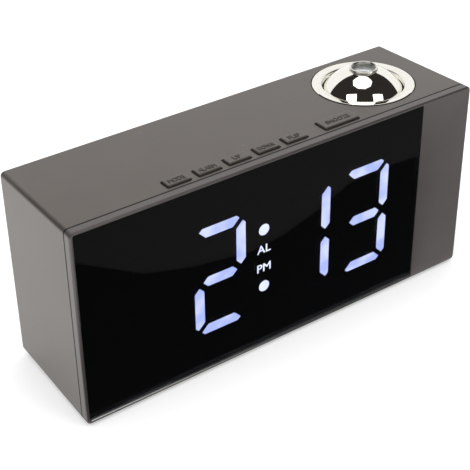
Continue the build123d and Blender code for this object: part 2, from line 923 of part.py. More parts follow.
# ---------------------------------------------------------------- keys and their switches
for name, (_, width, depth) in keys.items():
    centre = key_centre(name)
    with BuildPart() as key:
        cap = rectangles(top_plane.offset(key_proud), [centre], width, depth, key_corner)
        extrude(cap, amount=-(key_proud + flange_top))
        fillet(key.faces().sort_by(Axis.Z)[-1].edges(), key_edge)
        flange_size = (width + 2 * flange_lap, depth + 2 * flange_lap)
        flange = rectangles(top_plane.offset(-flange_top), [centre], *flange_size, key_corner)
        extrude(flange, amount=-flange_thickness)
        extrude(circles(top_plane.offset(-stem_top), [centre], stem_radius), amount=-stem_length)
    key.part.label = f"{name}_button"
    export_step(key.part, f"parts/{name}_button.step")

    with BuildPart() as plunger:
        plunger_sketch = circles(top_plane.offset(-plunger_top), [centre], plunger_radius)
        extrude(plunger_sketch, amount=-(plunger_proud + plunger_seat))
    plunger.part.label = f"{name}_switch_plunger"
    export_step(plunger.part, f"parts/{name}_switch_plunger.step")

key_centres = [key_centre(name) for name in keys]
with BuildPart() as tact_switches:
    switch_plane = top_plane.offset(-switch_top)
    extrude(
        rectangles(switch_plane, key_centres, switch_size, switch_size, switch_corner),
        amount=-switch_height,
    )
    extrude(
        circles(switch_plane, key_centres, plunger_radius + plunger_gap),
        amount=-(plunger_seat + key_travel + body_gap),
        mode=Mode.SUBTRACT,
    )
tact_switches.part.label = "tact_switches"
export_step(tact_switches.part, "parts/tact_switches.step")

with BuildPart() as button_board:
    with BuildSketch(top_plane.offset(-key_board_top)):
        with Locations(((key_board_left + key_board_right) / 2, (key_board_front + key_board_rear) / 2)):
            Rectangle(key_board_right - key_board_left, key_board_rear - key_board_front)
        # the rear corner is cut round the swivel's nearest post
        with Locations((dish_x, dish_v)):
            with Locations(*post_points):
                Circle(post_radius + body_gap, mode=Mode.SUBTRACT)
        with Locations(*key_board_points):
            Circle(small_shank + screw_gap, mode=Mode.SUBTRACT)
    extrude(amount=-thin_board)
button_board.part.label = "button_board"
export_step(button_board.part, "parts/button_board.step")

with BuildPart() as button_board_screws:
    under_board = top_plane.offset(-key_board_top - thin_board)
    extrude(circles(under_board, key_board_points, small_head), amount=-small_head_height)
    extrude(circles(under_board, key_board_points, small_shank), amount=thin_board + screw_fill * pilot_depth)
button_board_screws.part.label = "button_board_screws"
export_step(button_board_screws.part, "parts/button_board_screws.step")

# ---------------------------------------------------------------- projector dish and ball
dish_edge = ball_radius + ball_gap
rim_height = ball_depth + dish_rim
edge_height = ball_depth - dish_drop
lip_height = edge_height - dish_lip
skirt_bottom = cup_rim + body_gap
bead_top = ball_depth - wall - hole_gap
land_start = (dish_radius - dish_rim_width, rim_height)
land_end = (land_start[0] - dish_land, rim_height - dish_land_fall)
dish_mouth = (ball_reach(edge_height, dish_edge), edge_height)
with BuildPart() as projector_dish:
    with BuildSketch(ball_section):
        with BuildLine():
            Polyline(land_start, land_end)
            # the land rolls over into the mouth that follows the ball
            TangentArc(land_end, dish_mouth, tangent=(-dish_land, -dish_land_fall))
            Polyline(
                dish_mouth,
                (ball_reach(lip_height, dish_edge), lip_height),
                (dish_radius - dish_wall, lip_height + dish_wall),
                (dish_radius - dish_wall, skirt_bottom),
                (dish_radius, skirt_bottom),
                (dish_radius, bead_top - 2 * dish_bead),
                (dish_radius + dish_bead, bead_top - dish_bead),
                (dish_radius + dish_bead, bead_top),
                (dish_radius, bead_top),
                (dish_radius, ball_depth),
                (dish_radius - dish_rim, rim_height),
                land_start,
            )
        make_face()
    revolve(axis=ball_axis)
projector_dish.part.label = "projector_dish"
export_step(projector_dish.part, "parts/projector_dish.step")

split_plane = ball_plane.offset(-ball_split)
pin_plane = Plane(origin=ball_plane.origin, x_dir=ball_plane.y_dir, z_dir=ball_plane.x_dir)
guide_radius = barrel_radius + barrel_gap
with BuildPart() as ball_upper_shell:
    with Locations(ball_plane.location):
        Sphere(ball_radius)
    for side in (-1, 1):
        extrude(
            circles(pin_plane.offset(side * (ball_radius - ball_wall / 2)), [(0, 0)], pin_radius),
            amount=side * (cup_outer - body_gap / 2 - ball_radius + ball_wall / 2),
        )
    with Locations(ball_plane.location):
        Sphere(inner_radius, mode=Mode.SUBTRACT)
    split(bisect_by=split_plane, keep=Keep.TOP)
    split(bisect_by=ball_plane.offset(crown_height), keep=Keep.BOTTOM)
    guide_top = ball_plane.offset(ball_reach(guide_radius + guide_wall, inner_radius) + ball_wall / 4)
    extrude(circles(guide_top, [(0, 0)], guide_radius + guide_wall), amount=-guide_length)
    extrude(
        circles(ball_plane.offset(crown_height), [(0, 0)], guide_radius),
        amount=-2 * guide_length,
        mode=Mode.SUBTRACT,
    )
ball_upper_shell.part.label = "ball_upper_shell"
export_step(ball_upper_shell.part, "parts/ball_upper_shell.step")

shell_lip = ball_reach(ball_split, inner_radius) - barrel_gap
with BuildPart() as ball_lower_shell:
    with Locations(ball_plane.location):
        Sphere(ball_radius)
        Sphere(inner_radius, mode=Mode.SUBTRACT)
    split(bisect_by=split_plane, keep=Keep.BOTTOM)
    ledge_top = lamp_board_drop + thin_board
    revolve(
        turned(
            [
                (shell_lip - shell_lip_width, -ball_split - shell_lip_below),
                (shell_lip, -ball_split - shell_lip_below),
                (shell_lip, -ball_split + shell_lip_above),
                (shell_lip - shell_lip_width, -ball_split + shell_lip_above),
            ]
        ),
        axis=ball_axis,
    )
    revolve(
        turned(
            [
                (lamp_ledge - lamp_ledge_width, -ledge_top),
                (lamp_ledge + ball_wall / 2, -ledge_top),
                (lamp_ledge + ball_wall / 4, -ledge_top - thin_board),
                (lamp_ledge - lamp_ledge_width, -ledge_top - thin_board),
            ]
        ),
        axis=ball_axis,
    )
    extrude(
        circles(ball_plane.offset(-ball_radius), [(0, 0)], lead_hole),
        amount=ball_radius / 2,
        mode=Mode.SUBTRACT,
    )
ball_lower_shell.part.label = "ball_lower_shell"
export_step(ball_lower_shell.part, "parts/ball_lower_shell.step")

# ---------------------------------------------------------------- focus ring and lens
lens_seat_height = collar_bottom - lens_seat
with BuildPart() as focus_ring:
    revolve(
        turned(
            [
                (barrel_radius, barrel_bottom),
                (barrel_radius, collar_bottom),
                (collar_radius, collar_bottom),
                (collar_radius, collar_top - collar_edge),
                (collar_radius - collar_edge, collar_top),
                (collar_mouth, collar_top),
                (lens_bore, collar_top - mouth_fall),
                (lens_bore, lens_seat_height),
                (light_bore, lens_seat_height),
                (light_bore, barrel_bottom),
            ]
        ),
        axis=ball_axis,
    )
    # finger notches in the collar's rim
    with BuildSketch(ball_plane.offset(collar_top)):
        with PolarLocations(collar_radius, notch_count):
            Rectangle(collar_radius, notch_width)
    extrude(amount=-notch_depth, mode=Mode.SUBTRACT)
focus_ring.part.label = "focus_ring"
export_step(focus_ring.part, "parts/focus_ring.step")


def crowned_lens(radius, flat_height, edge, crown, side):
    """Half profile of a lens with one flat face; side is 1 for a crown above the flat, -1 for below."""
    sphere_radius = (radius**2 + crown**2) / (2 * crown)
    half_turn = math.asin(radius / sphere_radius) / 2
    crown_top = flat_height + side * (edge + crown)
    middle = (
        sphere_radius * math.sin(half_turn),
        crown_top - side * sphere_radius * (1 - math.cos(half_turn)),
    )
    with BuildSketch(ball_section) as sketch:
        with BuildLine():
            edge_end = (radius, flat_height + side * edge)
            Polyline((0, crown_top), (0, flat_height), (radius, flat_height), edge_end)
            ThreePointArc(edge_end, middle, (0, crown_top))
        make_face()
    return sketch.sketch


with BuildPart() as projector_lens:
    revolve(
        crowned_lens(lens_bore - lens_fit, lens_seat_height, projector_lens_edge, projector_lens_crown, 1),
        axis=ball_axis,
    )
projector_lens.part.label = "projector_lens"
export_step(projector_lens.part, "parts/projector_lens.step")

# ---------------------------------------------------------------- light path inside the ball
tube_bore = lens_bore + 2 * lens_fit
with BuildPart() as slide_tube:
    revolve(
        turned(
            [
                (slide_tube_radius, -lamp_board_drop),
                (slide_tube_radius, slide_tube_top),
                (tube_bore, slide_tube_top),
                (tube_bore, slide_drop),
                (light_bore, slide_drop),
                (light_bore, slide_drop - slide_ledge),
                (tube_bore, slide_drop - slide_ledge),
                (tube_bore, -lamp_board_drop),
            ]
        ),
        axis=ball_axis,
    )
slide_tube.part.label = "slide_tube"
export_step(slide_tube.part, "parts/slide_tube.step")

with BuildPart() as image_slide:
    extrude(circles(ball_plane.offset(slide_drop), [(0, 0)], tube_bore - lens_fit), amount=slide_thickness)
image_slide.part.label = "image_slide"
export_step(image_slide.part, "parts/image_slide.step")

with BuildPart() as condenser_lens:
    revolve(
        crowned_lens(tube_bore - lens_fit, slide_drop - slide_ledge, condenser_edge, condenser_crown, -1),
        axis=ball_axis,
    )
condenser_lens.part.label = "condenser_lens"
export_step(condenser_lens.part, "parts/condenser_lens.step")

with BuildPart() as lamp_board:
    extrude(
        circles(ball_plane.offset(-lamp_board_drop), [(0, 0)], lamp_ledge - lamp_board_inset),
        amount=-thin_board,
    )
lamp_board.part.label = "lamp_board"
export_step(lamp_board.part, "parts/lamp_board.step")

with BuildPart() as projector_lamp:
    lamp_base = ball_plane.offset(-lamp_board_drop)
    extrude(circles(lamp_base, [(0, 0)], lamp_flange), amount=lamp_flange_height)
    extrude(circles(lamp_base, [(0, 0)], lamp_radius), amount=lamp_height)
    with Locations(lamp_base.offset(lamp_height).location):
        Sphere(lamp_radius)
projector_lamp.part.label = "projector_lamp"
export_step(projector_lamp.part, "parts/projector_lamp.step")

# ---------------------------------------------------------------- swivel under the ball
with BuildPart() as swivel_cup:
    with BuildSketch(ball_section):
        with BuildLine():
            outer_turn = math.degrees(math.acos(shoulder_radius / cup_outer))
            inner_turn = math.degrees(math.acos(journal_bore / cup_inner))
            journal_end = plate_bottom + body_gap + clip_thickness + journal_past_clip
            outer_arc = CenterArc((0, 0), cup_outer, 0, -outer_turn)
            inner_arc = CenterArc((0, 0), cup_inner, 0, -inner_turn)
            Polyline(
                outer_arc @ 1,
                (shoulder_radius, -shoulder_drop),
                (journal_radius, -shoulder_drop),
                (journal_radius, -journal_end),
                (journal_bore, -journal_end),
                inner_arc @ 1,
            )
            Polyline(inner_arc @ 0, (cup_inner, cup_rim), (cup_outer, cup_rim), outer_arc @ 0)
        make_face()
    revolve(axis=ball_axis)
    # open slots that the ball's two pins drop into
    with BuildSketch(pin_plane):
        Circle(pin_radius + pin_gap)
        with Locations((0, cup_rim)):
            Rectangle(2 * (pin_radius + pin_gap), 2 * cup_rim)
    extrude(amount=2 * cup_outer, both=True, mode=Mode.SUBTRACT)
swivel_cup.part.label = "swivel_cup"
export_step(swivel_cup.part, "parts/swivel_cup.step")

with BuildPart() as swivel_plate:
    plate_plane = ball_plane.offset(-plate_top)
    plate_length = 2 * (post_reach_x + post_radius)
    plate_width = 2 * (post_reach_y + post_radius)
    extrude(
        rectangles(plate_plane, [(0, 0)], plate_length, plate_width, post_radius),
        amount=-plate_thickness,
    )
    extrude(circles(plate_plane, [(0, 0)], shoulder_radius), amount=plate_boss)
    extrude(
        circles(plate_plane, [(0, 0)], journal_radius + journal_gap),
        amount=plate_thickness * 2,
        both=True,
        mode=Mode.SUBTRACT,
    )
    extrude(
        circles(plate_plane, post_points, small_shank + screw_gap),
        amount=-plate_thickness,
        mode=Mode.SUBTRACT,
    )
swivel_plate.part.label = "swivel_plate"
export_step(swivel_plate.part, "parts/swivel_plate.step")

with BuildPart() as swivel_clip:
    with BuildSketch(ball_plane.offset(-plate_bottom - body_gap)):
        Circle(clip_radius)
        Circle(journal_radius + thread_gap, mode=Mode.SUBTRACT)
        with Locations((0, -clip_radius)):
            Rectangle(journal_radius, clip_radius, mode=Mode.SUBTRACT)
    extrude(amount=-clip_thickness)
swivel_clip.part.label = "swivel_clip"
export_step(swivel_clip.part, "parts/swivel_clip.step")

with BuildPart() as swivel_screws:
    under_plate = ball_plane.offset(-plate_bottom)
    extrude(circles(under_plate, post_points, small_head), amount=-small_head_height)
    extrude(circles(under_plate, post_points, small_shank), amount=plate_thickness + screw_fill * pilot_depth)
swivel_screws.part.label = "swivel_screws"
export_step(swivel_screws.part, "parts/swivel_screws.step")

# ---------------------------------------------------------------- power inlet and buzzer
with BuildPart() as power_board:
    extrude(
        rectangles(
            Plane.XY.offset(power_board_bottom),
            [(jack_x, power_board_y)],
            power_board_width,
            power_board_depth,
        ),
        amount=board_thickness,
    )
    extrude(
        circles(Plane.XY.offset(power_board_bottom), power_boss_points, small_shank + screw_gap),
        amount=board_thickness,
        mode=Mode.SUBTRACT,
    )
power_board.part.label = "power_board"
export_step(power_board.part, "parts/power_board.step")

with BuildPart() as power_board_screws:
    extrude(
        circles(Plane.XY.offset(power_board_top), power_boss_points, small_head),
        amount=small_head_height,
    )
    extrude(
        circles(Plane.XY.offset(power_board_top), power_boss_points, small_shank),
        amount=-(board_thickness + screw_fill * short_pilot),
    )
power_board_screws.part.label = "power_board_screws"
export_step(power_board_screws.part, "parts/power_board_screws.step")

with BuildPart() as dc_jack:
    extrude(
        rectangles(front_plane(rear_wall_y), [(jack_x, jack_z)], jack_width, jack_height),
        amount=jack_length,
    )
    extrude(circles(front_plane(rear_wall_y), [(jack_x, jack_z)], jack_nose), amount=-wall)
    extrude(
        circles(front_plane(rear_y), [(jack_x, jack_z)], jack_bore),
        amount=jack_bore_depth,
        mode=Mode.SUBTRACT,
    )
dc_jack.part.label = "dc_jack"
export_step(dc_jack.part, "parts/dc_jack.step")

with BuildPart() as jack_pin:
    jack_floor = front_plane(rear_y - jack_bore_depth)
    extrude(circles(jack_floor, [(jack_x, jack_z)], jack_pin_radius), amount=-jack_pin_length)
    fillet(jack_pin.faces().sort_by(Axis.Y)[-1].edges(), jack_pin_radius / 2)
jack_pin.part.label = "jack_pin"
export_step(jack_pin.part, "parts/jack_pin.step")

with BuildPart() as smoothing_capacitor:
    capacitor_y = rear_wall_y - power_board_depth + capacitor_radius + body_gap
    extrude(
        circles(Plane.XY.offset(power_board_top), [(jack_x, capacitor_y)], capacitor_radius),
        amount=capacitor_height,
    )
    fillet(smoothing_capacitor.faces().sort_by(Axis.Z)[-1].edges(), capacitor_edge)
smoothing_capacitor.part.label = "smoothing_capacitor"
export_step(smoothing_capacitor.part, "parts/smoothing_capacitor.step")

with BuildPart() as piezo_buzzer:
    extrude(circles(front_plane(rear_wall_y), [buzzer_point], buzzer_radius), amount=buzzer_height)
    extrude(
        circles(front_plane(rear_wall_y), [buzzer_point], 2 * sound_hole),
        amount=buzzer_height / 2,
        mode=Mode.SUBTRACT,
    )
piezo_buzzer.part.label = "piezo_buzzer"
export_step(piezo_buzzer.part, "parts/piezo_buzzer.step")

# ---------------------------------------------------------------- backup cells and their door
with BuildPart() as backup_cells:
    for z, side in zip(cell_zs, (-1, 1)):
        nub_end = bay_x + side * cell_length / 2
        body_end = nub_end - side * cell_nub
        body_start = bay_x - side * cell_length / 2
        extrude(
            circles(Plane.YZ.offset(body_start), [(cell_y, z)], cell_radius),
            amount=body_end - body_start,
        )
        extrude(
            circles(Plane.YZ.offset(body_end), [(cell_y, z)], cell_nub_radius),
            amount=nub_end - body_end,
        )
backup_cells.part.label = "backup_cells"
export_step(backup_cells.part, "parts/backup_cells.step")

with BuildPart() as battery_contacts:
    for side in (-1, 1):
        wall_x = bay_x + side * bay_length / 2
        plate_sketch = rectangles(
            Plane.YZ.offset(wall_x),
            [(cell_y, z) for z in cell_zs],
            contact_width,
            contact_height,
        )
        extrude(plate_sketch, amount=-side * contact_thickness)
        extrude(
            circles(
                Plane.YZ.offset(wall_x - side * contact_thickness),
                [(cell_y, z) for z in cell_zs],
                contact_radius,
            ),
            amount=-side * contact_reach,
        )
battery_contacts.part.label = "battery_contacts"
export_step(battery_contacts.part, "parts/battery_contacts.step")

with BuildPart() as battery_door:
    door_outside = front_plane(rear_y)
    extrude(
        rectangles(door_outside, [(bay_x, bay_z)], door_width, door_height, door_corner),
        amount=door_thickness,
    )
    tab_height = tab_length + body_gap + tab_root
    tab_sketch = rectangles(
        front_plane(rear_y - door_thickness + tab_thickness),
        [(x, z - tab_length + tab_height / 2) for x, z in tab_points],
        tab_width,
        tab_height,
    )
    extrude(tab_sketch, amount=tab_thickness)
    # two slots free a springy latch tongue at the top edge
    door_top = bay_z + door_height / 2
    latch_reach = (latch_width + latch_slot) / 2
    extrude(
        rectangles(
            door_outside,
            [(bay_x + side * latch_reach, door_top - latch_length / 2) for side in (-1, 1)],
            latch_slot,
            latch_length,
        ),
        amount=door_thickness,
        mode=Mode.SUBTRACT,
    )
    # grooves for a fingertip across the tongue
    grip_sketch = rectangles(
        door_outside,
        [(bay_x, door_top - (place + 1) * grip_pitch) for place in range(grip_grooves)],
        latch_width - 2 * latch_slot,
        grip_width,
    )
    extrude(grip_sketch, amount=grip_width, mode=Mode.SUBTRACT)
battery_door.part.label = "battery_door"
export_step(battery_door.part, "parts/battery_door.step")

# ---------------------------------------------------------------- case screws and feet
with BuildPart() as case_screws:
    head_y = tower_front_y + tower_seat
    extrude(circles(front_plane(head_y), tower_points, case_head), amount=-case_head_height)
    shank_length = tower_seat + screw_fill * case_pilot
    extrude(circles(front_plane(head_y), tower_points, case_shank), amount=shank_length)
case_screws.part.label = "case_screws"
export_step(case_screws.part, "parts/case_screws.step")

with BuildPart() as rubber_feet:
    for x, y in foot_points:
        extrude(
            circles(Plane.XY, [(x, y)], foot_radius),
            amount=foot_height + draft_at(y) + foot_pocket,
        )
rubber_feet.part.label = "rubber_feet"
export_step(rubber_feet.part, "parts/rubber_feet.step")
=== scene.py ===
"""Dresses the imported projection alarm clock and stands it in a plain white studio."""

import json
import logging
import math
from dataclasses import dataclass
from enum import Enum
from typing import Any, ClassVar, Iterable, Mapping, Optional, Sequence

import bmesh
import bpy
from mathutils import Matrix, Vector
from mathutils.geometry import convex_hull_2d


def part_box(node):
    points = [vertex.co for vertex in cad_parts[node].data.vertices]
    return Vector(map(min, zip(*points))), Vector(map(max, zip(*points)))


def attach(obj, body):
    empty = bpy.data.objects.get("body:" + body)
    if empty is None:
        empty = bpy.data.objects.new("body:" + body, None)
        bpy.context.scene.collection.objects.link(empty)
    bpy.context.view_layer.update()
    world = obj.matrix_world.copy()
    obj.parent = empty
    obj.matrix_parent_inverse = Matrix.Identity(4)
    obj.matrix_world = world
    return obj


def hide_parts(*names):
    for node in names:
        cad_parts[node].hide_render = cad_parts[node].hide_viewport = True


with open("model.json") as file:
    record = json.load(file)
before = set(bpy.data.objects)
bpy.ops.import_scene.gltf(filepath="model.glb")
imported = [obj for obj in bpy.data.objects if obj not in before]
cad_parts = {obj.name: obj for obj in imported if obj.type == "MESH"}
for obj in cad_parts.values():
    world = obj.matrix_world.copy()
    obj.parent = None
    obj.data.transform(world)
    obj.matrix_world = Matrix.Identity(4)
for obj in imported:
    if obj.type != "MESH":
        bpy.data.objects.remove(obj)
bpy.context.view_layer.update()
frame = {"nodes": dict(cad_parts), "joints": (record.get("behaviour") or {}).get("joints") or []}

LOG = logging.getLogger("alarm_clock")
MM = 0.001
FRAME_PIXELS = 470
# where the middle of a softened edge lies, as a share of the edge's size from either face
SOFTENED = 0.3
Point = tuple[float, float]
Pair = tuple[float, float]
Tree = bpy.types.NodeTree
Socket = bpy.types.NodeSocket
Mesh = bmesh.types.BMesh


# ---------------- colour and nodes
def linear(colour: str) -> tuple[float, float, float, float]:
    """Turns an sRGB hex colour into linear RGBA.

    Args:
        colour: The colour as "#rrggbb".

    Returns:
        Linear red, green and blue, and an alpha of 1.
    """
    channels = [int(colour[i : i + 2], 16) / 255 for i in (1, 3, 5)]
    red, green, blue = (c / 12.92 if c <= 0.04045 else ((c + 0.055) / 1.055) ** 2.4 for c in channels)
    return red, green, blue, 1.0


def add_node(
    tree: Tree,
    kind: str,
    settings: Optional[Mapping[Any, Any]] = None,
    links: Optional[Mapping[Any, Socket]] = None,
) -> bpy.types.Node:
    """Adds a node to a tree, with its settings and links.

    Args:
        tree: The node tree that takes the node.
        kind: The node's Blender type name.
        settings: Values by property name, input name or input number.
        links: Sockets to link from, by input name or number.

    Returns:
        The new node.
    """
    node = tree.nodes.new(kind)
    for name, value in (settings or {}).items():
        if isinstance(name, str) and hasattr(node, name):
            setattr(node, name, value)
        else:
            node.inputs[name].default_value = value
    for name, socket in (links or {}).items():
        tree.links.new(socket, node.inputs[name])
    return node


def emptied(owner: bpy.types.ID) -> Tree:
    """Gives the node tree of a material or of a world, with nothing in it."""
    owner.use_nodes = True
    owner.node_tree.nodes.clear()
    return owner.node_tree


def vary(pattern: Socket, low: Any, high: Any, span: Pair = (0.3, 0.7)) -> Socket:
    """Spreads a pattern between two colours or two values.

    Args:
        pattern: The pattern's level, from 0 to 1.
        low: The hex colour or the value where the pattern is low.
        high: The same where the pattern is high.
        span: The levels that give two colours plain; values always spread over 0 to 1.

    Returns:
        The colour's or the value's socket.
    """
    tree = pattern.id_data
    if isinstance(low, str):
        ramp = add_node(tree, "ShaderNodeValToRGB", links={"Fac": pattern})
        for element, level, colour in zip(ramp.color_ramp.elements, span, (low, high)):
            element.position = level
            element.color = linear(colour)
        return ramp.outputs["Color"]
    return add_node(tree, "ShaderNodeMapRange", {"To Min": low, "To Max": high}, {"Value": pattern}).outputs["Result"]


# ---------------- finishes
class Kind(Enum):
    """Kinds of pattern: the texture, its settings and the output that is read."""

    CLOUD = ("ShaderNodeTexNoise", {}, "Fac")
    TRACK = ("ShaderNodeTexVoronoi", {"distance": "MANHATTAN", "feature": "F2"}, "Distance")
    SPECK = ("ShaderNodeTexVoronoi", {"feature": "F1"}, "Distance")


@dataclass(frozen=True)
class Pattern:
    """A pattern in a material or on its surface.

    Attributes:
        size_mm: The real size of one cloud, grain, track or cell.
        detail: How many finer layers a cloud has.
        twist: How far a cloud is twisted out of shape.
        kind: What it looks like.
        stretch: Its scale along X, Y and Z, where less than 1 draws it out into lines.
    """

    size_mm: float
    detail: float = 3.0
    twist: float = 0.0
    kind: Kind = Kind.CLOUD
    stretch: Optional[tuple[float, float, float]] = None

    def drawn(self, place: Socket) -> Socket:
        """Adds the pattern to a material.

        Args:
            place: The position on the piece, in metres.

        Returns:
            The pattern's level.
        """
        tree = place.id_data
        texture, settings, output = self.kind.value
        settings = {"Scale": 1 / (self.size_mm * MM), **settings}
        if self.kind is Kind.CLOUD:
            settings |= {"Detail": self.detail, "Distortion": self.twist}
        if self.stretch:
            place = add_node(tree, "ShaderNodeMapping", {"Scale": self.stretch}, {"Vector": place}).outputs["Vector"]
        return add_node(tree, texture, settings, {"Vector": place}).outputs[output]


@dataclass(frozen=True)
class Relief:
    """How a surface rises and falls.

    Attributes:
        strength: How strongly it shows.
        height_mm: Its height.
        pattern: Its pattern, where that isn't the body's own.
    """

    strength: float
    height_mm: float
    pattern: Optional[Pattern] = None


@dataclass(frozen=True)
class Finish:
    """A real material with the way its surface was made.

    Attributes:
        name: The material's common name, then how its surface was made.
        colour: Its colour where the body's pattern is low.
        shade: Its colour where that pattern is high.
        roughness: Its roughness where the pattern is low and where it is high.
        body: The pattern by which the colour and the roughness vary.
        relief: How its surface rises and falls, if that shows.
        sheen: The pattern by which the roughness varies, where that isn't the body's.
    """

    name: str
    colour: str
    shade: str
    roughness: Pair
    body: Pattern = Pattern(3.0)
    relief: Optional[Relief] = None
    sheen: Optional[Pattern] = None

    coloured: ClassVar[str] = "Base Color"
    span: ClassVar[Pair] = (0.3, 0.7)

    def material(self) -> bpy.types.Material:
        """Gives this finish's Blender material, made the first time it is asked for."""
        found = bpy.data.materials.get(self.name)
        if found is not None:
            return found
        made = bpy.data.materials.new(self.name)
        tree = emptied(made)
        shader = add_node(tree, "ShaderNodeBsdfPrincipled", self.levels())
        add_node(tree, "ShaderNodeOutputMaterial", links={"Surface": shader.outputs["BSDF"]})
        self.dress(shader, add_node(tree, "ShaderNodeTexCoord").outputs["Object"])
        return made

    def levels(self) -> dict[str, Any]:
        """Gives the shader's inputs that are the same all over."""
        return {}

    def dress(self, shader: bpy.types.Node, place: Socket) -> None:
        """Adds the patterns to the shader.

        Args:
            shader: The material's shader.
            place: The position on the piece, in metres.
        """
        tree = shader.id_data
        body = self.body.drawn(place)
        sheen = self.sheen.drawn(place) if self.sheen else body
        for name, pattern, ends in (
            (self.coloured, body, (self.colour, self.shade)),
            ("Roughness", sheen, self.roughness),
        ):
            if ends[0] == ends[1]:
                same = linear(ends[0]) if isinstance(ends[0], str) else ends[0]
                shader.inputs[name].default_value = same
            else:
                tree.links.new(vary(pattern, *ends, self.span), shader.inputs[name])
        if self.relief:
            raised = self.relief.pattern.drawn(place) if self.relief.pattern else body
            bump = add_node(
                tree,
                "ShaderNodeBump",
                {"Strength": self.relief.strength, "Distance": self.relief.height_mm * MM},
                {"Height": raised},
            )
            tree.links.new(bump.outputs["Normal"], shader.inputs["Normal"])


@dataclass(frozen=True)
class MouldedABS(Finish):
    """ABS moulded in a spark-eroded tool: dark, satin, with a fine even grain that softens its sheen.

    The tool's grain is finer than this, and is drawn as coarse as it needs to show.

    Attributes:
        gloss: How strongly it reflects.
        sheen_tint: The warm cast that the plastic gives its sheen.
        dust: Whether a few pale specks lie on it.
    """

    colour: str = "#373432"
    shade: str = "#3f3c3a"
    roughness: Pair = (0.27, 0.36)
    body: Pattern = Pattern(14.0, 4.0)
    relief: Optional[Relief] = Relief(0.5, 0.006, Pattern(0.35))
    gloss: float = 1.0
    sheen_tint: str = "#fff0e2"
    dust: bool = True

    specks: ClassVar[Pattern] = Pattern(11.0, kind=Kind.SPECK)
    speck_share: ClassVar[float] = 0.035
    speck_colour: ClassVar[str] = "#6b6662"
    speck_cover: ClassVar[float] = 0.55

    def levels(self) -> dict[str, Any]:
        """Gives ABS's refraction and its tinted gloss."""
        return {"IOR": 1.53, "Specular IOR Level": self.gloss, "Specular Tint": linear(self.sheen_tint)}

    def dress(self, shader: bpy.types.Node, place: Socket) -> None:
        """Adds the patterns, and the dust over the colour.

        Args:
            shader: The material's shader.
            place: The position on the piece, in metres.
        """
        super().dress(shader, place)
        if not self.dust:
            return
        tree = shader.id_data
        base = shader.inputs[self.coloured]
        near = add_node(
            tree, "ShaderNodeMath", {"operation": "LESS_THAN", 1: self.speck_share}, {0: self.specks.drawn(place)}
        )
        dusted = add_node(
            tree,
            "ShaderNodeMix",
            {"data_type": "RGBA", "B": linear(self.speck_colour)},
            {"Factor": vary(near.outputs[0], 0.0, self.speck_cover)},
        )
        tree.links.new(base.links[0].from_socket, dusted.inputs["A"])
        tree.links.new(dusted.outputs["Result"], base)


@dataclass(frozen=True)
class Acrylic(Finish):
    """Acrylic, clear or dyed: glassy, with faint smears in its polish.

    Dyed, it looks black until something glows behind it.

    Attributes:
        gloss: How strongly it reflects.
    """

    colour: str = "#f2f5f7"
    shade: str = "#f2f5f7"
    roughness: Pair = (0.0, 0.03)
    body: Pattern = Pattern(4.0, 2.0)
    gloss: float = 0.5

    def levels(self) -> dict[str, Any]:
        """Gives a clear body with acrylic's refraction."""
        return {"Transmission Weight": 1.0, "IOR": 1.49, "Specular IOR Level": self.gloss}


@dataclass(frozen=True)
class ChromedPlastic(Finish):
    """Bright chrome plated on moulded ABS: a mirror with fine wipe marks and a faint waviness from under it."""

    colour: str = "#f2efe6"
    shade: str = "#f9f7f0"
    roughness: Pair = (0.02, 0.06)
    body: Pattern = Pattern(2.5, 5.0, 1.5)
    relief: Optional[Relief] = Relief(0.25, 0.02, Pattern(9.0, 1.0))

    def levels(self) -> dict[str, Any]:
        """Gives metal."""
        return {"Metallic": 1.0}


@dataclass(frozen=True)
class Plastic(Finish):
    """A plastic such as acetal or nylon, or a resin or coating as smooth: faint flow marks in a dull sheen."""

    colour: str = "#1a1a1c"
    shade: str = "#232326"
    roughness: Pair = (0.35, 0.5)
    body: Pattern = Pattern(3.0, 4.0)
    relief: Optional[Relief] = Relief(0.2, 0.01)


@dataclass(frozen=True)
class BackPrintedInk(Finish):
    """Ink seen through the acrylic that carries it: there is no air between them, so it has no gloss."""

    colour: str = "#040405"
    shade: str = "#070708"
    roughness: Pair = (0.6, 0.8)
    body: Pattern = Pattern(12.0)

    def levels(self) -> dict[str, Any]:
        """Gives no gloss."""
        return {"Specular IOR Level": 0.0}


@dataclass(frozen=True)
class GlowingDiffuser(Finish):
    """A milky fill over a lamp: bluish where the lamp is near and whiter towards the ends.

    Attributes:
        strength: How brightly it glows.
    """

    colour: str = "#b4c0fb"
    shade: str = "#dce2ff"
    roughness: Pair = (0.5, 0.5)
    body: Pattern = Pattern(6.5, 1.0)
    strength: float = 4.0

    coloured: ClassVar[str] = "Emission Color"
    span: ClassVar[Pair] = (0.38, 0.62)

    def levels(self) -> dict[str, Any]:
        """Gives the glow's strength and the fill's own milky white."""
        return {"Emission Strength": self.strength, "Base Color": linear("#c8ccd8")}


@dataclass(frozen=True)
class CircuitBoard(Finish):
    """Glass-fibre board under solder mask: tracks show as a paler pattern through the lacquer."""

    colour: str = "#16452a"
    shade: str = "#1f5c38"
    roughness: Pair = (0.25, 0.4)
    body: Pattern = Pattern(2.4, kind=Kind.TRACK)
    relief: Optional[Relief] = Relief(0.4, 0.03)
    sheen: Optional[Pattern] = Pattern(0.5, 2.0)

    span: ClassVar[Pair] = (0.5, 0.55)


@dataclass(frozen=True)
class PlatedMetal(Finish):
    """Zinc or nickel plate on steel or brass: bright, with fine drawn lines from its making."""

    colour: str = "#9a9ca0"
    shade: str = "#b9bbbf"
    roughness: Pair = (0.22, 0.38)
    body: Pattern = Pattern(0.25, stretch=(1.0, 0.12, 1.0))

    def levels(self) -> dict[str, Any]:
        """Gives metal."""
        return {"Metallic": 1.0}


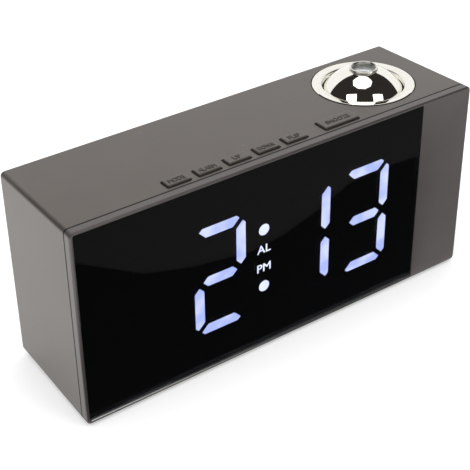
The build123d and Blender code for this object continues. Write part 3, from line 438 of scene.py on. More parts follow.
@dataclass(frozen=True)
class SoftRubber(Finish):
    """Moulded rubber: black, dull, with a fine tooth that holds dust."""

    colour: str = "#1b1b1b"
    shade: str = "#2b2a29"
    roughness: Pair = (0.65, 0.85)
    body: Pattern = Pattern(0.4, 4.0)
    relief: Optional[Relief] = Relief(0.5, 0.03)


# moulded ABS: a warm black case with a little dust, a clean bezel and keys, and key words duller and darker, their
# darker colour painted shade round the raised letters
CASE_ABS = MouldedABS("case_abs_moulded")
BEZEL_ABS = MouldedABS("bezel_abs_moulded", "#383535", "#3f3c3c", sheen_tint="#fff5f0", dust=False)
KEY_ABS = MouldedABS("key_abs_moulded", "#343130", "#403d3b", dust=False)
KEY_WORD_PAINTED_SHADE_ABS = MouldedABS("key_word_abs_painted_shade", "#1c1a19", "#242221", gloss=0.65, dust=False)
# acrylic: the dyed window, and the projector's clear lenses
LENS_SMOKE = Acrylic(
    "acrylic_smoked_polished", "#8a8c93", "#8a8c93", roughness=(0.015, 0.035), body=Pattern(35.0, 2.0), gloss=0.12
)
LENS_CLEAR = Acrylic("acrylic_clear_moulded")
# chrome on ABS: a bright mirror, a satin one where fingers turn it, and a rubbed one on the dish's edge
CHROME = ChromedPlastic("abs_chrome_plated")
SATIN_CHROME = ChromedPlastic("abs_chrome_satin", roughness=(0.38, 0.5))
RUBBED_CHROME = ChromedPlastic("abs_chrome_rubbed", roughness=(0.2, 0.3))
# behind the window: black print, white walls, bluish digits, whiter dots and words, and what is unlit
PRINT_BLACK = BackPrintedInk("ink_black_screen_printed")
REFLECTOR_WHITE = Plastic("styrene_white_moulded", "#dcdbd6", "#e6e5e0")
GLOW = GlowingDiffuser("diffuser_lit")
DOT_GLOW = GlowingDiffuser("diffuser_lit_white", "#dfe4ff", "#f4f6ff", strength=4.6)
UNLIT = BackPrintedInk("diffuser_unlit", "#070708", "#0a0a0c", body=Pattern(4.0))
# inside the case: boards, plain plastics, plated metal, sleeves and coated glass
BOARD = CircuitBoard("glass_fibre_board_lacquered")
BLACK_PLASTIC = Plastic("nylon_black_moulded")
NATURAL_PLASTIC = Plastic("nylon_natural_moulded", "#b9b5aa", "#c6c2b7")
ACETAL = Plastic("acetal_black_moulded", "#161617", "#1e1e20", roughness=(0.25, 0.4))
LED_RESIN = Plastic("led_resin_cast", "#dcd69a", "#e6e1b0", roughness=(0.15, 0.3))
ZINC_STEEL = PlatedMetal("steel_zinc_plated")
SPRING_STEEL = PlatedMetal("spring_steel_nickel_plated", "#aaa79e", "#c6c3ba")
CELL_CAN = PlatedMetal("cell_can_sleeved", "#3e4552", "#4a5260", roughness=(0.3, 0.45))
JACK_BRASS = PlatedMetal("brass_nickel_flashed", "#a8925a", "#c8b06a")
CAPACITOR_SLEEVE = Plastic("pvc_sleeve_shrunk", "#11162a", "#171d33", roughness=(0.2, 0.35))
SLIDE_GLASS = Plastic("slide_glass_coated", "#15171a", "#1c1f24", roughness=(0.05, 0.12))
# black rubber for the feet; a black rubber strip in the seams, painted shade for the shadow in the gaps; and a pale
# strip at the window's lower edge, a painted highlight for the table's light on that edge
FOOT_RUBBER = SoftRubber("rubber_moulded")
PAINTED_SHADE_RUBBER = SoftRubber("rubber_black_painted_shade", "#060606", "#0c0c0c")
LENS_EDGE_HIGHLIGHT = Plastic("acrylic_edge_painted_highlight", "#d6d3cf", "#e4e1dd")


def give(obj: bpy.types.Object, finish: Finish) -> None:
    """Puts one finish on every face of an object.

    Args:
        obj: The object.
        finish: Its finish.
    """
    if not obj.material_slots:
        obj.data.materials.append(None)
    for slot in obj.material_slots:
        slot.material = finish.material()


def dress_nodes(finish: Finish, *nodes: str) -> None:
    """Puts a finish on CAD nodes, which keep their shape and place.

    Args:
        finish: The finish.
        nodes: The nodes' names.
    """
    for node in nodes:
        give(frame["nodes"][node], finish)


# ---------------- places read from the frame
def joint_named(name: str) -> dict:
    """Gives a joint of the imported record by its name."""
    return next(joint for joint in frame["joints"] if joint["name"] == name)


def way_at(azimuth_deg: float, elevation_deg: float) -> Vector:
    """Gives the direction from the clock to a place round it.

    Args:
        azimuth_deg: The turn from straight ahead of the clock, towards +X.
        elevation_deg: The angle up from the floor.

    Returns:
        The direction, of length 1.
    """
    turn, rise = math.radians(azimuth_deg), math.radians(elevation_deg)
    return Vector((math.sin(turn) * math.cos(rise), -math.cos(turn) * math.cos(rise), math.sin(rise)))


def turned_to(normal: Vector, origin: Vector, along: Vector = Vector((1, 0, 0))) -> Matrix:
    """Makes the matrix of a local frame whose Z is a given normal.

    Args:
        normal: The local Z.
        origin: The local origin.
        along: The direction that the local X keeps to.

    Returns:
        The matrix from local to row coordinates.
    """
    z = normal.normalized()
    x = (along - along.dot(z) * z).normalized()
    y = z.cross(x)
    turn = Matrix((x, y, z)).transposed().to_4x4()
    return Matrix.Translation(origin) @ turn


def corners_of(points: Sequence[Vector]) -> tuple[Vector, Vector]:
    """Gives the lowest and the highest corner of the box round some points."""
    low, high = (Vector([pick(p[i] for p in points) for i in range(3)]) for pick in (min, max))
    return low, high


def flat_end(node: str, direction: Vector, depth: float = 0.02 * MM) -> Vector:
    """Finds the flat face at the end of a node along a direction.

    Args:
        node: The CAD node.
        direction: The way that the face looks.
        depth: How far a corner may lie under the face.

    Returns:
        The face's centre.
    """
    way = direction.normalized()
    points = [v.co for v in frame["nodes"][node].data.vertices]
    reach = max(p.dot(way) for p in points)
    low, high = corners_of([p for p in points if p.dot(way) > reach - depth])
    return (low + high) / 2


def added(name: str, data: bpy.types.ID) -> bpy.types.Object:
    """Adds an object to the scene.

    Args:
        name: Its name.
        data: Its mesh, curve, light or camera.

    Returns:
        The new object.
    """
    obj = bpy.data.objects.new(name, data)
    bpy.context.scene.collection.objects.link(obj)
    return obj


def added_mesh(name: str, mesh: Mesh) -> bpy.types.Object:
    """Adds a mesh object to the scene.

    Args:
        name: Its name.
        mesh: Its mesh, which is freed here.

    Returns:
        The new object.
    """
    data = bpy.data.meshes.new(name)
    mesh.to_mesh(data)
    mesh.free()
    return added(name, data)


def object_from(mesh: Mesh, name: str, finish: Finish, body: str) -> bpy.types.Object:
    """Makes an object of a finished mesh, dresses it and lets it ride on a body.

    Args:
        mesh: The mesh, in row coordinates; it is freed here.
        name: The piece's name.
        finish: Its finish.
        body: The CAD body it moves with.

    Returns:
        The new object.
    """
    bmesh.ops.recalc_face_normals(mesh, faces=mesh.faces)
    obj = added_mesh(name, mesh)
    give(obj, finish)
    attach(obj, body)
    LOG.info("%s: %d faces on %s", name, len(obj.data.polygons), body)
    return obj


def smooth_by_angle(obj: bpy.types.Object, degrees: float = 35.0) -> None:
    """Shades an object smooth, and keeps its edges sharp over an angle.

    Args:
        obj: A mesh object.
        degrees: The angle between faces from which an edge is sharp.
    """
    obj.data.polygons.foreach_set("use_smooth", [True] * len(obj.data.polygons))
    obj.data.set_sharp_from_angle(angle=math.radians(degrees))


def rounded_rectangle(width: float, height: float, radius: float, steps: int = 8) -> list[Point]:
    """Lists the points of a rectangle with rounded corners, about its centre.

    Args:
        width: Its full width.
        height: Its full height.
        radius: The corners' radius.
        steps: Points on each corner, less one.

    Returns:
        The points, anticlockwise.
    """
    points = []
    for quarter, (side_x, side_y) in enumerate([(1, 1), (-1, 1), (-1, -1), (1, -1)]):
        for step in range(steps + 1):
            turn = math.pi / 2 * (quarter + step / steps)
            x, y = side_x * (width / 2 - radius), side_y * (height / 2 - radius)
            points.append((x + radius * math.cos(turn), y + radius * math.sin(turn)))
    return points


def stacked(rings: Sequence[Sequence[Vector]], capped: bool = True, closed: bool = False) -> Mesh:
    """Skins a row of rings that have the same number of points.

    Args:
        rings: The rings, in order.
        capped: Whether the first and last ring are each filled by a face.
        closed: Whether the last ring is joined to the first.

    Returns:
        The mesh.
    """
    mesh = bmesh.new()
    rows = [[mesh.verts.new(point) for point in ring] for ring in rings]
    for first, second in zip(rows, rows[1:] + rows[:1] if closed else rows[1:]):
        for i in range(len(first)):
            j = (i + 1) % len(first)
            mesh.faces.new((first[i], first[j], second[j], second[i]))
    if capped:
        mesh.faces.new(rows[0])
        mesh.faces.new(rows[-1])
    return mesh


def turned_rings(profile: Sequence[Point], place: Matrix, steps: int = 128) -> list[list[Vector]]:
    """Turns a profile round a local axis.

    Args:
        profile: The profile's points, each a radius and a height.
        place: The local frame, whose Z is the axis.
        steps: Points round the axis.

    Returns:
        A ring of points for each point of the profile, in row coordinates.
    """
    turns = [math.tau * i / steps for i in range(steps)]
    return [[place @ Vector((r * math.cos(turn), r * math.sin(turn), h)) for turn in turns] for r, h in profile]


def joined(meshes: Sequence[Mesh]) -> Mesh:
    """Joins meshes into one.

    Args:
        meshes: The meshes, which are freed here.

    Returns:
        The one mesh.
    """
    whole = bmesh.new()
    data = bpy.data.meshes.new("joining")
    for mesh in meshes:
        mesh.to_mesh(data)
        mesh.free()
        whole.from_mesh(data)
    bpy.data.meshes.remove(data)
    return whole


def lettering(text: str, bold: float) -> bpy.types.Mesh:
    """Makes letters with sloping sides as a mesh, in a plain sans-serif hand.

    Args:
        text: The letters.
        bold: How far the sides slope out from each stroke, as a share of the letters' size.

    Returns:
        The mesh, in its own plane and as far over it as under it.
    """
    curve = bpy.data.curves.new("letters_" + text.lower(), "FONT")
    curve.body = text
    curve.bevel_depth = bold
    curve.bevel_resolution = 0
    curve.resolution_u = 6
    holder = added(curve.name, curve)
    bpy.context.view_layer.update()
    letters = bpy.data.meshes.new_from_object(holder)
    bpy.data.objects.remove(holder)
    bpy.data.curves.remove(curve)
    return letters


def raised_letters(
    text: str, place: Matrix, width_mm: float, height_mm: float, rise_mm: float, bold: float, weld: float = 1e-5
) -> Mesh:
    """Makes raised letters that fill a box on a plane.

    Args:
        text: The letters.
        place: The plane's frame: X is the reading direction, and the letters rise along Z.
        width_mm: The box's width.
        height_mm: The letters' height.
        rise_mm: How far they rise from the plane; they reach as far below it.
        bold: How far their sides slope out, as a share of the letters' size.
        weld: How near two corners become one, as a share of the letters' size.

    Returns:
        The mesh, in row coordinates.
    """
    mesh = bmesh.new()
    mesh.from_mesh(lettering(text, bold))
    bmesh.ops.remove_doubles(mesh, verts=mesh.verts, dist=weld)
    low, high = corners_of([v.co for v in mesh.verts])
    centre = Vector(((low.x + high.x) / 2, (low.y + high.y) / 2, 0))
    size = Vector((width_mm / (high.x - low.x), height_mm / (high.y - low.y), rise_mm / bold)) * MM
    for vertex in mesh.verts:
        vertex.co = place @ ((vertex.co - centre) * size)
    return mesh


# ---------------- sub-assemblies
@dataclass
class Case:
    """The housing, the bezel in front of it and what closes its rear."""

    foot_round_mm: float = 0.35
    foot_groove_mm: float = 0.25
    foot_grooves: tuple[tuple[float, float, float], ...] = ((0.7, 0.65, 0.6), (0.35, 0.3, 0.25))
    foot_steps: int = 48
    painted_shade_before_mm: float = 0.09
    painted_shade_behind_mm: float = 0.5
    painted_shade_proud_mm: float = 0.012
    painted_shade_thinned: float = 0.25
    painted_shade_root_mm: float = -0.1
    seam_tolerance: float = 1e-6

    def build(self) -> None:
        """Dresses the shells and the screws and adds the feet and the black strip in the seam, which is painted
        shade.
        """
        dress_nodes(CASE_ABS, "rear_housing", "battery_door")
        dress_nodes(BEZEL_ABS, "front_bezel")
        dress_nodes(ZINC_STEEL, "case_screws")
        self.feet()
        self.painted_seam_shade()

    def painted_seam_shade(self) -> None:
        """Adds a thin black strip all round where the shell and the bezel meet, painted shade standing in for the
        shadow in the gap.
        """
        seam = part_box("rear_housing")[0].y
        corners = [v.co for v in frame["nodes"]["front_bezel"].data.vertices]
        rim = [c for c in corners if abs(c.y - seam) < self.seam_tolerance]
        loop = [rim[i] for i in convex_hull_2d([(c.x, c.z) for c in rim])]
        middle = sum(loop, Vector()) / len(loop)
        before, behind, proud = self.painted_shade_before_mm * MM, self.painted_shade_behind_mm * MM, self.painted_shade_proud_mm * MM
        rings = [
            [corner + (corner - middle).normalized() * rise + Vector((0, shift, 0)) for corner in loop]
            for shift, rise in (
                (-before, self.painted_shade_root_mm * MM),
                (-before, proud),
                (behind, self.painted_shade_thinned * proud),
                (behind, self.painted_shade_root_mm * MM),
            )
        ]
        painted_seam_shade = object_from(stacked(rings, capped=False), "case_seam_painted_shade", PAINTED_SHADE_RUBBER, "case")

    def feet(self) -> None:
        """Models the four feet with a rounded edge and two grooves in the sole."""
        corners = [v.co for v in frame["nodes"]["rubber_feet"].data.vertices]
        middle = sum(corners, Vector()) / len(corners)
        sole = min(c.z for c in corners)
        edge, groove = self.foot_round_mm * MM, sole + self.foot_groove_mm * MM
        feet = []
        for side_x, side_y in ((-1, -1), (-1, 1), (1, -1), (1, 1)):
            foot = [c for c in corners if (c.x - middle.x) * side_x > 0 and (c.y - middle.y) * side_y > 0]
            low, high = corners_of(foot)
            radius = (high.x - low.x) / 2
            profile = [
                (radius, high.z),
                (radius, sole + edge),
                (radius - SOFTENED * edge, sole + SOFTENED * edge),
                (radius - edge, sole),
            ]
            for outer, middle_of_groove, inner in self.foot_grooves:
                profile += [(outer * radius, sole), (middle_of_groove * radius, groove), (inner * radius, sole)]
            centre = Matrix.Translation(((low.x + high.x) / 2, (low.y + high.y) / 2, 0))
            feet.append(stacked(turned_rings(profile, centre, self.foot_steps)))
        piece = object_from(joined(feet), "rubber_feet_moulded", FOOT_RUBBER, "case")
        smooth_by_angle(piece)
        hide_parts("rubber_feet")


@dataclass
class Display:
    """The smoked window and the lit digits behind it."""

    lens_gap_mm: float = 0.05
    lens_edge_mm: float = 0.15
    lens_corner_mm: float = 0.6
    lens_smooth_deg: float = 12.0
    border_mm: float = 0.02
    border_gap_share: float = 0.4
    border_inset_mm: float = 0.2
    highlight_mm: float = 0.4
    highlight_share: float = 0.55
    highlight_foot_mm: float = 0.06
    highlight_taper: float = 0.08
    highlight_proud_mm: float = 0.004
    word_width_mm: float = 5.6
    word_height_mm: float = 3.15
    word_depth_mm: float = 0.06
    word_inset_mm: float = 1.95
    word_clear_mm: float = 0.01
    bold: float = 0.014
    words: tuple[str, str] = ("PM", "AL")

    def build(self) -> None:
        """Dresses the display's nodes and adds the lens, a pale strip at its lower edge that is a painted highlight,
        its printed border and the lit words.
        """
        dress_nodes(PRINT_BLACK, "segment_mask")
        dress_nodes(REFLECTOR_WHITE, "digit_reflector")
        dress_nodes(GLOW, "lit_segments")
        dress_nodes(DOT_GLOW, "colon_dots")
        dress_nodes(UNLIT, "unlit_segments", "word_windows")
        dress_nodes(LED_RESIN, "segment_leds")
        self.lens()
        self.painted_edge_highlight()
        self.border()
        self.lit_words()

    def lens(self) -> None:
        """Models the lens as a plate with softened edges, a hair clear of the mask behind it."""
        low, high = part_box("display_lens")
        width, height = high.x - low.x, high.z - low.z
        mid_x, mid_z = (low.x + high.x) / 2, (low.z + high.z) / 2
        edge = self.lens_edge_mm * MM
        back = high.y - self.lens_gap_mm * MM
        layers = [
            (back, edge),
            (back - edge, 0.0),
            (low.y + edge, 0.0),
            (low.y + SOFTENED * edge, SOFTENED * edge),
            (low.y, edge),
        ]
        rings = [
            [
                Vector((mid_x + x, y, mid_z + z))
                for x, z in rounded_rectangle(width - 2 * inset, height - 2 * inset, self.lens_corner_mm * MM)
            ]
            for y, inset in layers
        ]
        lens = object_from(stacked(rings), "display_lens_polished", LENS_SMOKE, "case")
        smooth_by_angle(lens, self.lens_smooth_deg)
        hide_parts("display_lens")

    def painted_edge_highlight(self) -> None:
        """Adds a pale strip just in front of the lens's lower edge, a painted highlight standing in for the table's
        light on that edge, which thins out along its length.
        """
        low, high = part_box("display_lens")
        near, far = low.x + self.lens_corner_mm * MM, low.x + self.highlight_share * (high.x - low.x)
        foot, tall = low.z + self.highlight_foot_mm * MM, self.highlight_mm * MM
        outline = ((near, foot), (far, foot), (far, foot + self.highlight_taper * tall), (near, foot + tall))
        rings = [[Vector((x, y, z)) for x, z in outline] for y in (low.y - self.highlight_proud_mm * MM, low.y)]
        edge = object_from(stacked(rings), "lens_edge_painted_highlight", LENS_EDGE_HIGHLIGHT, "case")

    def border(self) -> None:
        """Adds the black border printed on the back of the lens, round the digits."""
        low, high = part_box("display_lens")
        inner_low, inner_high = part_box("segment_mask")
        front = high.y - self.border_gap_share * self.lens_gap_mm * MM
        rear, inset = front + self.border_mm * MM, self.border_inset_mm * MM
        outer = (low.x + inset, low.z + inset, high.x - inset, high.z - inset)
        inner = (inner_low.x, inner_low.z, inner_high.x, inner_high.z)
        rings = [
            [Vector((x, y, z)) for x, z in ((left, foot), (right, foot), (right, top), (left, top))]
            for y, (left, foot, right, top) in ((front, outer), (front, inner), (rear, inner), (rear, outer))
        ]
        border = object_from(stacked(rings, capped=False, closed=True), "lens_border_print", PRINT_BLACK, "case")

    def lit_words(self) -> None:
        """Adds the two small lit words between the digits, each in its own window."""
        low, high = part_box("word_windows")
        middle = (low + high) / 2
        front = low.y - self.word_clear_mm * MM
        window = (high.z - low.z) / 2 - self.word_inset_mm * MM
        for text, side in zip(self.words, (-1, 1)):
            place = turned_to(Vector((0, -1, 0)), Vector((middle.x, front, middle.z + side * window)))
            mesh = raised_letters(
                text, place, self.word_width_mm, self.word_height_mm, self.word_depth_mm, self.bold
            )
            word = object_from(mesh, f"lit_word_{text.lower()}", DOT_GLOW, "case")


@dataclass
class Keys:
    """The six keys on the top, each with its function's name in raised letters of a given width."""

    words_mm: tuple[tuple[str, float], ...] = (
        ("mode", 6.0),
        ("alarm", 6.6),
        ("up", 2.9),
        ("down", 6.2),
        ("flip", 4.6),
        ("snooze", 9.8),
    )
    letter_height_mm: float = 2.2
    letter_rise_mm: float = 0.16
    bold: float = 0.02

    def build(self) -> None:
        """Dresses the keys and switches and adds the words."""
        for name, width_mm in self.words_mm:
            dress_nodes(KEY_ABS, f"{name}_button")
            dress_nodes(BLACK_PLASTIC, f"{name}_switch_plunger")
            outward = -Vector(joint_named(f"{name}_press")["axis"])
            place = turned_to(outward, flat_end(f"{name}_button", outward))
            mesh = raised_letters(
                name.upper(), place, width_mm, self.letter_height_mm, self.letter_rise_mm, self.bold
            )
            # the words' darker colour is painted shade for the raised letters
            letters = object_from(mesh, f"{name}_key_word", KEY_WORD_PAINTED_SHADE_ABS, f"{name}_key")


@dataclass(frozen=True)
class Trim:
    """A fine piece with one section all along, turned round the projector's upright axis.

    Attributes:
        name: The piece's name.
        section_mm: Its section, each point a radius and a height.
        finish: Its finish.
        body: The body that it moves with.
        slot: The record's slot of that finish; not used.
    """

    name: str
    section_mm: tuple[Point, ...]
    finish: Finish
    body: str
    slot: str


@dataclass
class Projector:
    """The chrome ball that throws the time on a wall, its dish and its swivel."""

    notch_count: int = 4
    notch_fill_width_mm: float = 2.4
    notch_fill_steps: int = 6
    # heights over the focus ring's top
    notch_fills: tuple[Trim, ...] = (
        # black fill in the notches: painted shade standing in for the shadow in them
        Trim(
            "focus_ring_notch_shade",
            ((4.1, -0.52), (4.55, -0.52), (4.55, -0.12), (4.1, -0.12)),
            BLACK_PLASTIC,
            "focus",
            "black_plastic",
        ),
        Trim(
            "focus_ring_bridges",
            ((4.55, -0.52), (4.98, -0.52), (4.98, -0.05), (4.55, -0.05)),
            CHROME,
            "focus",
            "chromed_plastic",
        ),
    )
    ring_smooth_deg: float = 30.0
    # heights over the ball's centre
    rings: tuple[Trim, ...] = (
        Trim(
            "dish_inner_edge",
            (
                (15.61, 10.27),
                (15.5, 10.26),
                (14.84, 10.21),
                (14.8, 10.2),
                (14.66, 10.12),
                (14.57, 9.98),
                (14.55, 9.9),
                (14.37, 9.3),
                (14.31, 9.05),
                (14.6, 9.0),
                (15.0, 9.6),
                (15.5, 10.0),
            ),
            RUBBED_CHROME,
            "case",
            "chromed_plastic",
        ),
        # a black ring round the dish's outer edge: painted shade standing in for the shadow in the gap round the dish
        Trim(
            "dish_edge_painted_shade",
            ((18.12, 10.1), (18.12, 10.4), (18.42, 10.33), (18.42, 10.1)),
            PAINTED_SHADE_RUBBER,
            "case",
            "foot_rubber",
        ),
        Trim(
            "focus_ring_throat",
            ((4.29, 16.69), (4.17, 16.43), (4.02, 16.12), (4.05, 16.0), (4.2, 16.3), (4.4, 16.6)),
            SATIN_CHROME,
            "focus",
            "chromed_plastic",
        ),
    )

    def build(self) -> None:
        """Dresses the projector, fills the collar's notches, black inside as painted shade for the notches' shadow
        and chrome outside, and adds the rings.
        """
        dress_nodes(CHROME, "projector_dish", "ball_upper_shell")
        dress_nodes(SATIN_CHROME, "focus_ring")
        dress_nodes(ACETAL, "ball_lower_shell", "swivel_cup", "swivel_plate", "slide_tube")
        dress_nodes(LENS_CLEAR, "projector_lens", "condenser_lens")
        dress_nodes(SLIDE_GLASS, "image_slide")
        dress_nodes(BOARD, "lamp_board")
        dress_nodes(LED_RESIN, "projector_lamp")
        dress_nodes(SPRING_STEEL, "swivel_clip")
        dress_nodes(ZINC_STEEL, "swivel_screws")
        joint = joint_named("projector_swivel")
        upright = turned_to(Vector(joint["axis"]), Vector(joint["pos_m"]))
        for notch_fill in self.notch_fills:
            self.fill(notch_fill, upright)
        for ring in self.rings:
            self.turn(ring, upright)

    def turn(self, ring: Trim, upright: Matrix) -> None:
        """Adds a fine ring.

        Args:
            ring: The ring.
            upright: The frame at the ball's centre with the upright axis as its Z.
        """
        rings = turned_rings([(r * MM, h * MM) for r, h in ring.section_mm], upright)
        piece = object_from(stacked(rings, capped=False, closed=True), ring.name, ring.finish, ring.body)
        smooth_by_angle(piece, self.ring_smooth_deg)

    def fill(self, notch_fill: Trim, upright: Matrix) -> None:
        """Adds one layer of the fill in the focus ring's notches.

        Args:
            notch_fill: The layer.
            upright: The frame at the ball's centre with the upright axis as its Z.
        """
        centre, outward = upright.to_translation(), upright.col[2].to_3d()
        top = max((v.co - centre).dot(outward) for v in frame["nodes"]["focus_ring"].data.vertices)
        outline = [(r * MM, top + h * MM) for r, h in notch_fill.section_mm]
        half = math.asin(self.notch_fill_width_mm / 2 / max(r for r, h in notch_fill.section_mm))
        fills = []
        for notch in range(self.notch_count):
            middle = math.tau * notch / self.notch_count
            turns = [middle + half * (2 * i / self.notch_fill_steps - 1) for i in range(self.notch_fill_steps + 1)]
            sections = [
                [upright @ Vector((r * math.cos(turn), r * math.sin(turn), h)) for r, h in outline] for turn in turns
            ]
            fills.append(stacked(sections))
        piece = object_from(joined(fills), notch_fill.name, notch_fill.finish, notch_fill.body)


@dataclass
class Electronics:
    """The boards, what stands on them, the cells and the inlet."""

    finishes: tuple[tuple[Finish, tuple[str, ...]], ...] = (
        (BOARD, ("display_board", "main_board", "button_board", "power_board")),
        (ZINC_STEEL, ("display_screws", "main_board_screws", "button_board_screws", "power_board_screws")),
        (BLACK_PLASTIC, ("board_header", "controller_chip", "tact_switches", "dc_jack", "piezo_buzzer")),
        (SPRING_STEEL, ("clock_crystal", "battery_contacts")),
        (NATURAL_PLASTIC, ("board_spacers",)),
        (JACK_BRASS, ("jack_pin",)),
        (CAPACITOR_SLEEVE, ("smoothing_capacitor",)),
        (CELL_CAN, ("backup_cells",)),
    )

    def build(self) -> None:
        """Dresses the nodes."""
        for finish, nodes in self.finishes:
            dress_nodes(finish, *nodes)


# ---------------- studio
class RayKind(Enum):
    """Kinds of ray that a white surround shows itself to."""

    CAMERA = "Is Camera Ray"
    GLOSSY = "Is Glossy Ray"
    TRANSMISSION = "Is Transmission Ray"


class Front(Enum):
    """Shapes of a softbox's front. An eight-sided one is lit as a disk and has its own mesh for reflections."""

    SQUARE = "SQUARE"
    EIGHT_SIDED = "DISK"


@dataclass(frozen=True)
class Softbox:
    """A softbox that faces the projector.

    Attributes:
        name: Its name.
        way: The direction from the projector to the box.
        half_deg: Half of the angle that it fills, seen from the projector.
        radiance: Its brightness, where 1 is a lit white surface.
        front: Its shape.
        roll_deg: Its turn about its own axis.
    """

    name: str
    way: tuple[float, float, float]
    half_deg: float = 12.0
    radiance: float = 2.6
    front: Front = Front.SQUARE
    roll_deg: float = 0.0


@dataclass(frozen=True)
class Cloth:
    """A cloth laid flat before the clock, which only reflections see.

    Attributes:
        name: Its name.
        colour: What reflections see.
        edge_mm: The corners of its edge on the floor.
    """

    name: str
    colour: str
    edge_mm: tuple[Point, ...]


# the uneven edge where the near and the far cloth meet, in mm on the floor
CLOTH_JOIN = ((-37, -106), (-20, -85), (-3, -78), (21, -73), (38, -75), (60, -81), (85, -90), (110, -91), (125, -90))


@dataclass
class Studio:
    """A white floor and surround, a canopy and cloths that only reflections see, and three softboxes."""

    floor_size: float = 12.0
    floor_colour: str = "#f7f7f7"
    floor_lift: float = 0.3
    world_level: float = 0.72
    canopy_radius: float = 1.7
    canopy_reach_deg: float = 109.0
    canopy_shoulder_deg: float = 9.0
    canopy_azimuth_deg: float = -35.0
    canopy_elevation_deg: float = 18.6
    canopy_colour: str = "#2d2a29"
    canopy_rings: int = 24
    canopy_spokes: int = 72
    cloth_lift_mm: float = 0.3
    cloths: tuple[Cloth, ...] = (
        Cloth("near_cloth", "#333536", ((-150, -25.5), (-60, -106), *CLOTH_JOIN, (60, -25.5))),
        Cloth("far_cloth", "#676564", ((-60, -106), (-60, -150), (185, -150), *reversed(CLOTH_JOIN))),
        Cloth("side_cloth", "#cbc9c7", ((60, -25.5), (125, -90), (185, -150), (330, -150), (330, -25.5))),
    )
    box_distance: float = 1.25
    box_sides: int = 8
    boxes: tuple[Softbox, ...] = (
        Softbox("overhead_box", (0.056, 0.121, 1.0), 19.8, 1.8, Front.EIGHT_SIDED),
        Softbox("left_box", (-0.66, -0.09, 0.69), roll_deg=-50.0),
        Softbox("right_box", (0.175, -0.685, 0.66), roll_deg=-20.0),
    )

    def build(self) -> None:
        """Sets up the world, the floor, the canopy, the cloths and the softboxes."""
        self.world()
        self.floor()
        self.canopy()
        for cloth in self.cloths:
            self.lay(cloth)
        for box in self.boxes:
            self.hang(box)

    def seen_by(self, tree: Tree, kinds: Iterable[RayKind]) -> Socket:
        """Gives a socket that is 1 for the given kinds of ray.

        Args:
            tree: The node tree.
            kinds: The kinds of ray.

        Returns:
            The socket.
        """
        paths = add_node(tree, "ShaderNodeLightPath")
        first, *others = (paths.outputs[kind.value] for kind in kinds)
        for other in others:
            first = add_node(tree, "ShaderNodeMath", {"operation": "MAXIMUM"}, {0: first, 1: other}).outputs[0]
        return first

    def world(self) -> None:
        """Makes the surround white to the eye and in reflections, and a plain level to all else."""
        world = bpy.data.worlds.new("studio_surround")
        bpy.context.scene.world = world
        tree = emptied(world)
        plain, white = (
            add_node(tree, "ShaderNodeBackground", {"Color": linear("#ffffff"), "Strength": level}).outputs[0]
            for level in (self.world_level, 1.0)
        )
        mix = add_node(tree, "ShaderNodeMixShader", links={0: self.seen_by(tree, RayKind), 1: plain, 2: white})
        add_node(tree, "ShaderNodeOutputWorld", links={"Surface": mix.outputs["Shader"]})

    def floor(self) -> None:
        """Lays a pale floor that keeps the clock's shadow."""
        mesh = bmesh.new()
        bmesh.ops.create_grid(mesh, x_segments=2, y_segments=2, size=self.floor_size / 2)
        floor = added_mesh("studio_floor", mesh)
        material = bpy.data.materials.new("paper_white")
        tree = emptied(material)
        paper = add_node(tree, "ShaderNodeBsdfDiffuse", {"Color": linear(self.floor_colour)})
        lift = add_node(
            tree,
            "ShaderNodeEmission",
            {"Color": linear("#ffffff")},
            {"Strength": vary(self.seen_by(tree, RayKind), 0.0, self.floor_lift)},
        )
        both = add_node(tree, "ShaderNodeAddShader", links={0: paper.outputs["BSDF"], 1: lift.outputs["Emission"]})
        add_node(tree, "ShaderNodeOutputMaterial", links={"Surface": both.outputs["Shader"]})
        floor.data.materials.append(material)

    def canopy(self) -> None:
        """Hangs a dark canopy with square shoulders towards the camera's side, which only reflections see."""
        place = turned_to(way_at(self.canopy_azimuth_deg, self.canopy_elevation_deg), Vector())
        spokes = [math.tau * j / self.canopy_spokes for j in range(self.canopy_spokes)]
        rings = []
        for i in range(1, self.canopy_rings + 1):
            ring = []
            for spoke in spokes:
                # one shoulder stands out at the upper right and one at the lower right, seen from the camera
                bulge = max(math.sin(2 * spoke) * math.sin(spoke), 0)
                reach = self.canopy_reach_deg + self.canopy_shoulder_deg * bulge
                angle = math.radians(reach) * i / self.canopy_rings
                out, up = self.canopy_radius * math.sin(angle), self.canopy_radius * math.cos(angle)
                ring.append(place @ Vector((out * math.cos(spoke), out * math.sin(spoke), up)))
            rings.append(ring)
        mesh = stacked(rings, capped=False)
        mesh.verts.ensure_lookup_table()
        mesh.faces.new(mesh.verts[: self.canopy_spokes])
        self.reflected_only(mesh, "studio_ceiling", self.canopy_colour)

    def lay(self, cloth: Cloth) -> None:
        """Lays a cloth on the floor.

        Args:
            cloth: The cloth.
        """
        mesh = bmesh.new()
        mesh.faces.new([mesh.verts.new((x * MM, y * MM, self.cloth_lift_mm * MM)) for x, y in cloth.edge_mm])
        self.reflected_only(mesh, cloth.name, cloth.colour, through_glass=True)

    def reflected_only(
        self, mesh: Mesh, name: str, colour: str, strength: float = 1.0, through_glass: bool = False
    ) -> None:
        """Stands a mesh in the studio that shows in reflections and nowhere else.

        Args:
            mesh: The mesh; it is freed here.
            name: The name that the object and its material take.
            colour: What reflections see.
            strength: How bright it is, where 1 is the colour as written.
            through_glass: Whether it also shows in what a window's rear face throws back.
        """
        card = added_mesh(name, mesh)
        material = bpy.data.materials.new(name)
        tree = emptied(material)
        glow = add_node(tree, "ShaderNodeEmission", {"Color": linear(colour), "Strength": strength})
        add_node(tree, "ShaderNodeOutputMaterial", links={"Surface": glow.outputs["Emission"]})
        card.data.materials.append(material)
        card.visible_camera = False
        card.visible_diffuse = False
        card.visible_transmission = through_glass
        card.visible_shadow = False
        card.visible_volume_scatter = False

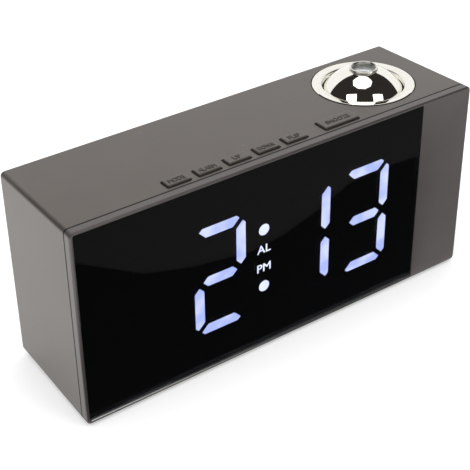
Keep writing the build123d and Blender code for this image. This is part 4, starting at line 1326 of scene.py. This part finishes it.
    def hang(self, softbox: Softbox) -> None:
        """Hangs a softbox.

        Args:
            softbox: The softbox.
        """
        light = bpy.data.lights.new(softbox.name, "AREA")
        light.shape = softbox.front.value
        light.size = 2 * self.box_distance * math.tan(math.radians(softbox.half_deg))
        area = light.size**2 * (math.pi / 4 if softbox.front is Front.EIGHT_SIDED else 1)
        light.energy = softbox.radiance * math.pi * area
        box = added(softbox.name, light)
        direction = Vector(softbox.way).normalized()
        centre = Vector(joint_named("projector_swivel")["pos_m"])
        stand = turned_to(direction, centre + self.box_distance * direction)
        box.matrix_world = stand @ Matrix.Rotation(math.radians(softbox.roll_deg), 4, "Z")
        if softbox.front is Front.EIGHT_SIDED:
            box.visible_glossy = False
            mesh = bmesh.new()
            reach = light.size / 2
            turns = [math.tau * (i + 0.5) / self.box_sides for i in range(self.box_sides)]
            mesh.faces.new(
                [
                    mesh.verts.new(box.matrix_world @ Vector((reach * math.cos(turn), reach * math.sin(turn), 0)))
                    for turn in turns
                ]
            )
            self.reflected_only(mesh, softbox.name + "_front", "#ffffff", softbox.radiance)


@dataclass
class Camera:
    """The view: where the camera stands, how it is turned and how long its lens is."""

    azimuth_deg: float = -35.133
    elevation_deg: float = 33.232
    roll_deg: float = -0.746
    distance: float = 0.4303
    target: tuple[float, float, float] = (-0.00517, 0.0, 0.03244)
    focal_pixels: float = 1240.0
    sensor_mm: float = 36.0
    clip: Pair = (0.01, 50.0)

    def build(self) -> None:
        """Makes the camera and gives it to the scene."""
        data = bpy.data.cameras.new("camera")
        data.sensor_width = self.sensor_mm
        data.lens = self.focal_pixels / FRAME_PIXELS * self.sensor_mm
        data.clip_start, data.clip_end = self.clip
        camera = added("camera", data)
        turn = math.radians(self.azimuth_deg)
        across = Vector((math.cos(turn), math.sin(turn), 0))
        back = way_at(self.azimuth_deg, self.elevation_deg)
        level = turned_to(back, Vector(self.target) + self.distance * back, across)
        camera.matrix_world = level @ Matrix.Rotation(math.radians(self.roll_deg), 4, "Z")
        bpy.context.scene.camera = camera


def main() -> None:
    """Builds the clock's sub-assemblies and the studio, in order."""
    logging.basicConfig(level=logging.INFO, format="%(message)s")
    bpy.context.scene.view_settings.view_transform = "Standard"
    for part in (Camera(), Studio(), Case(), Display(), Keys(), Projector(), Electronics()):
        part.build()
        LOG.info("%s is in place", type(part).__name__)


if __name__ == "__main__":
    main()
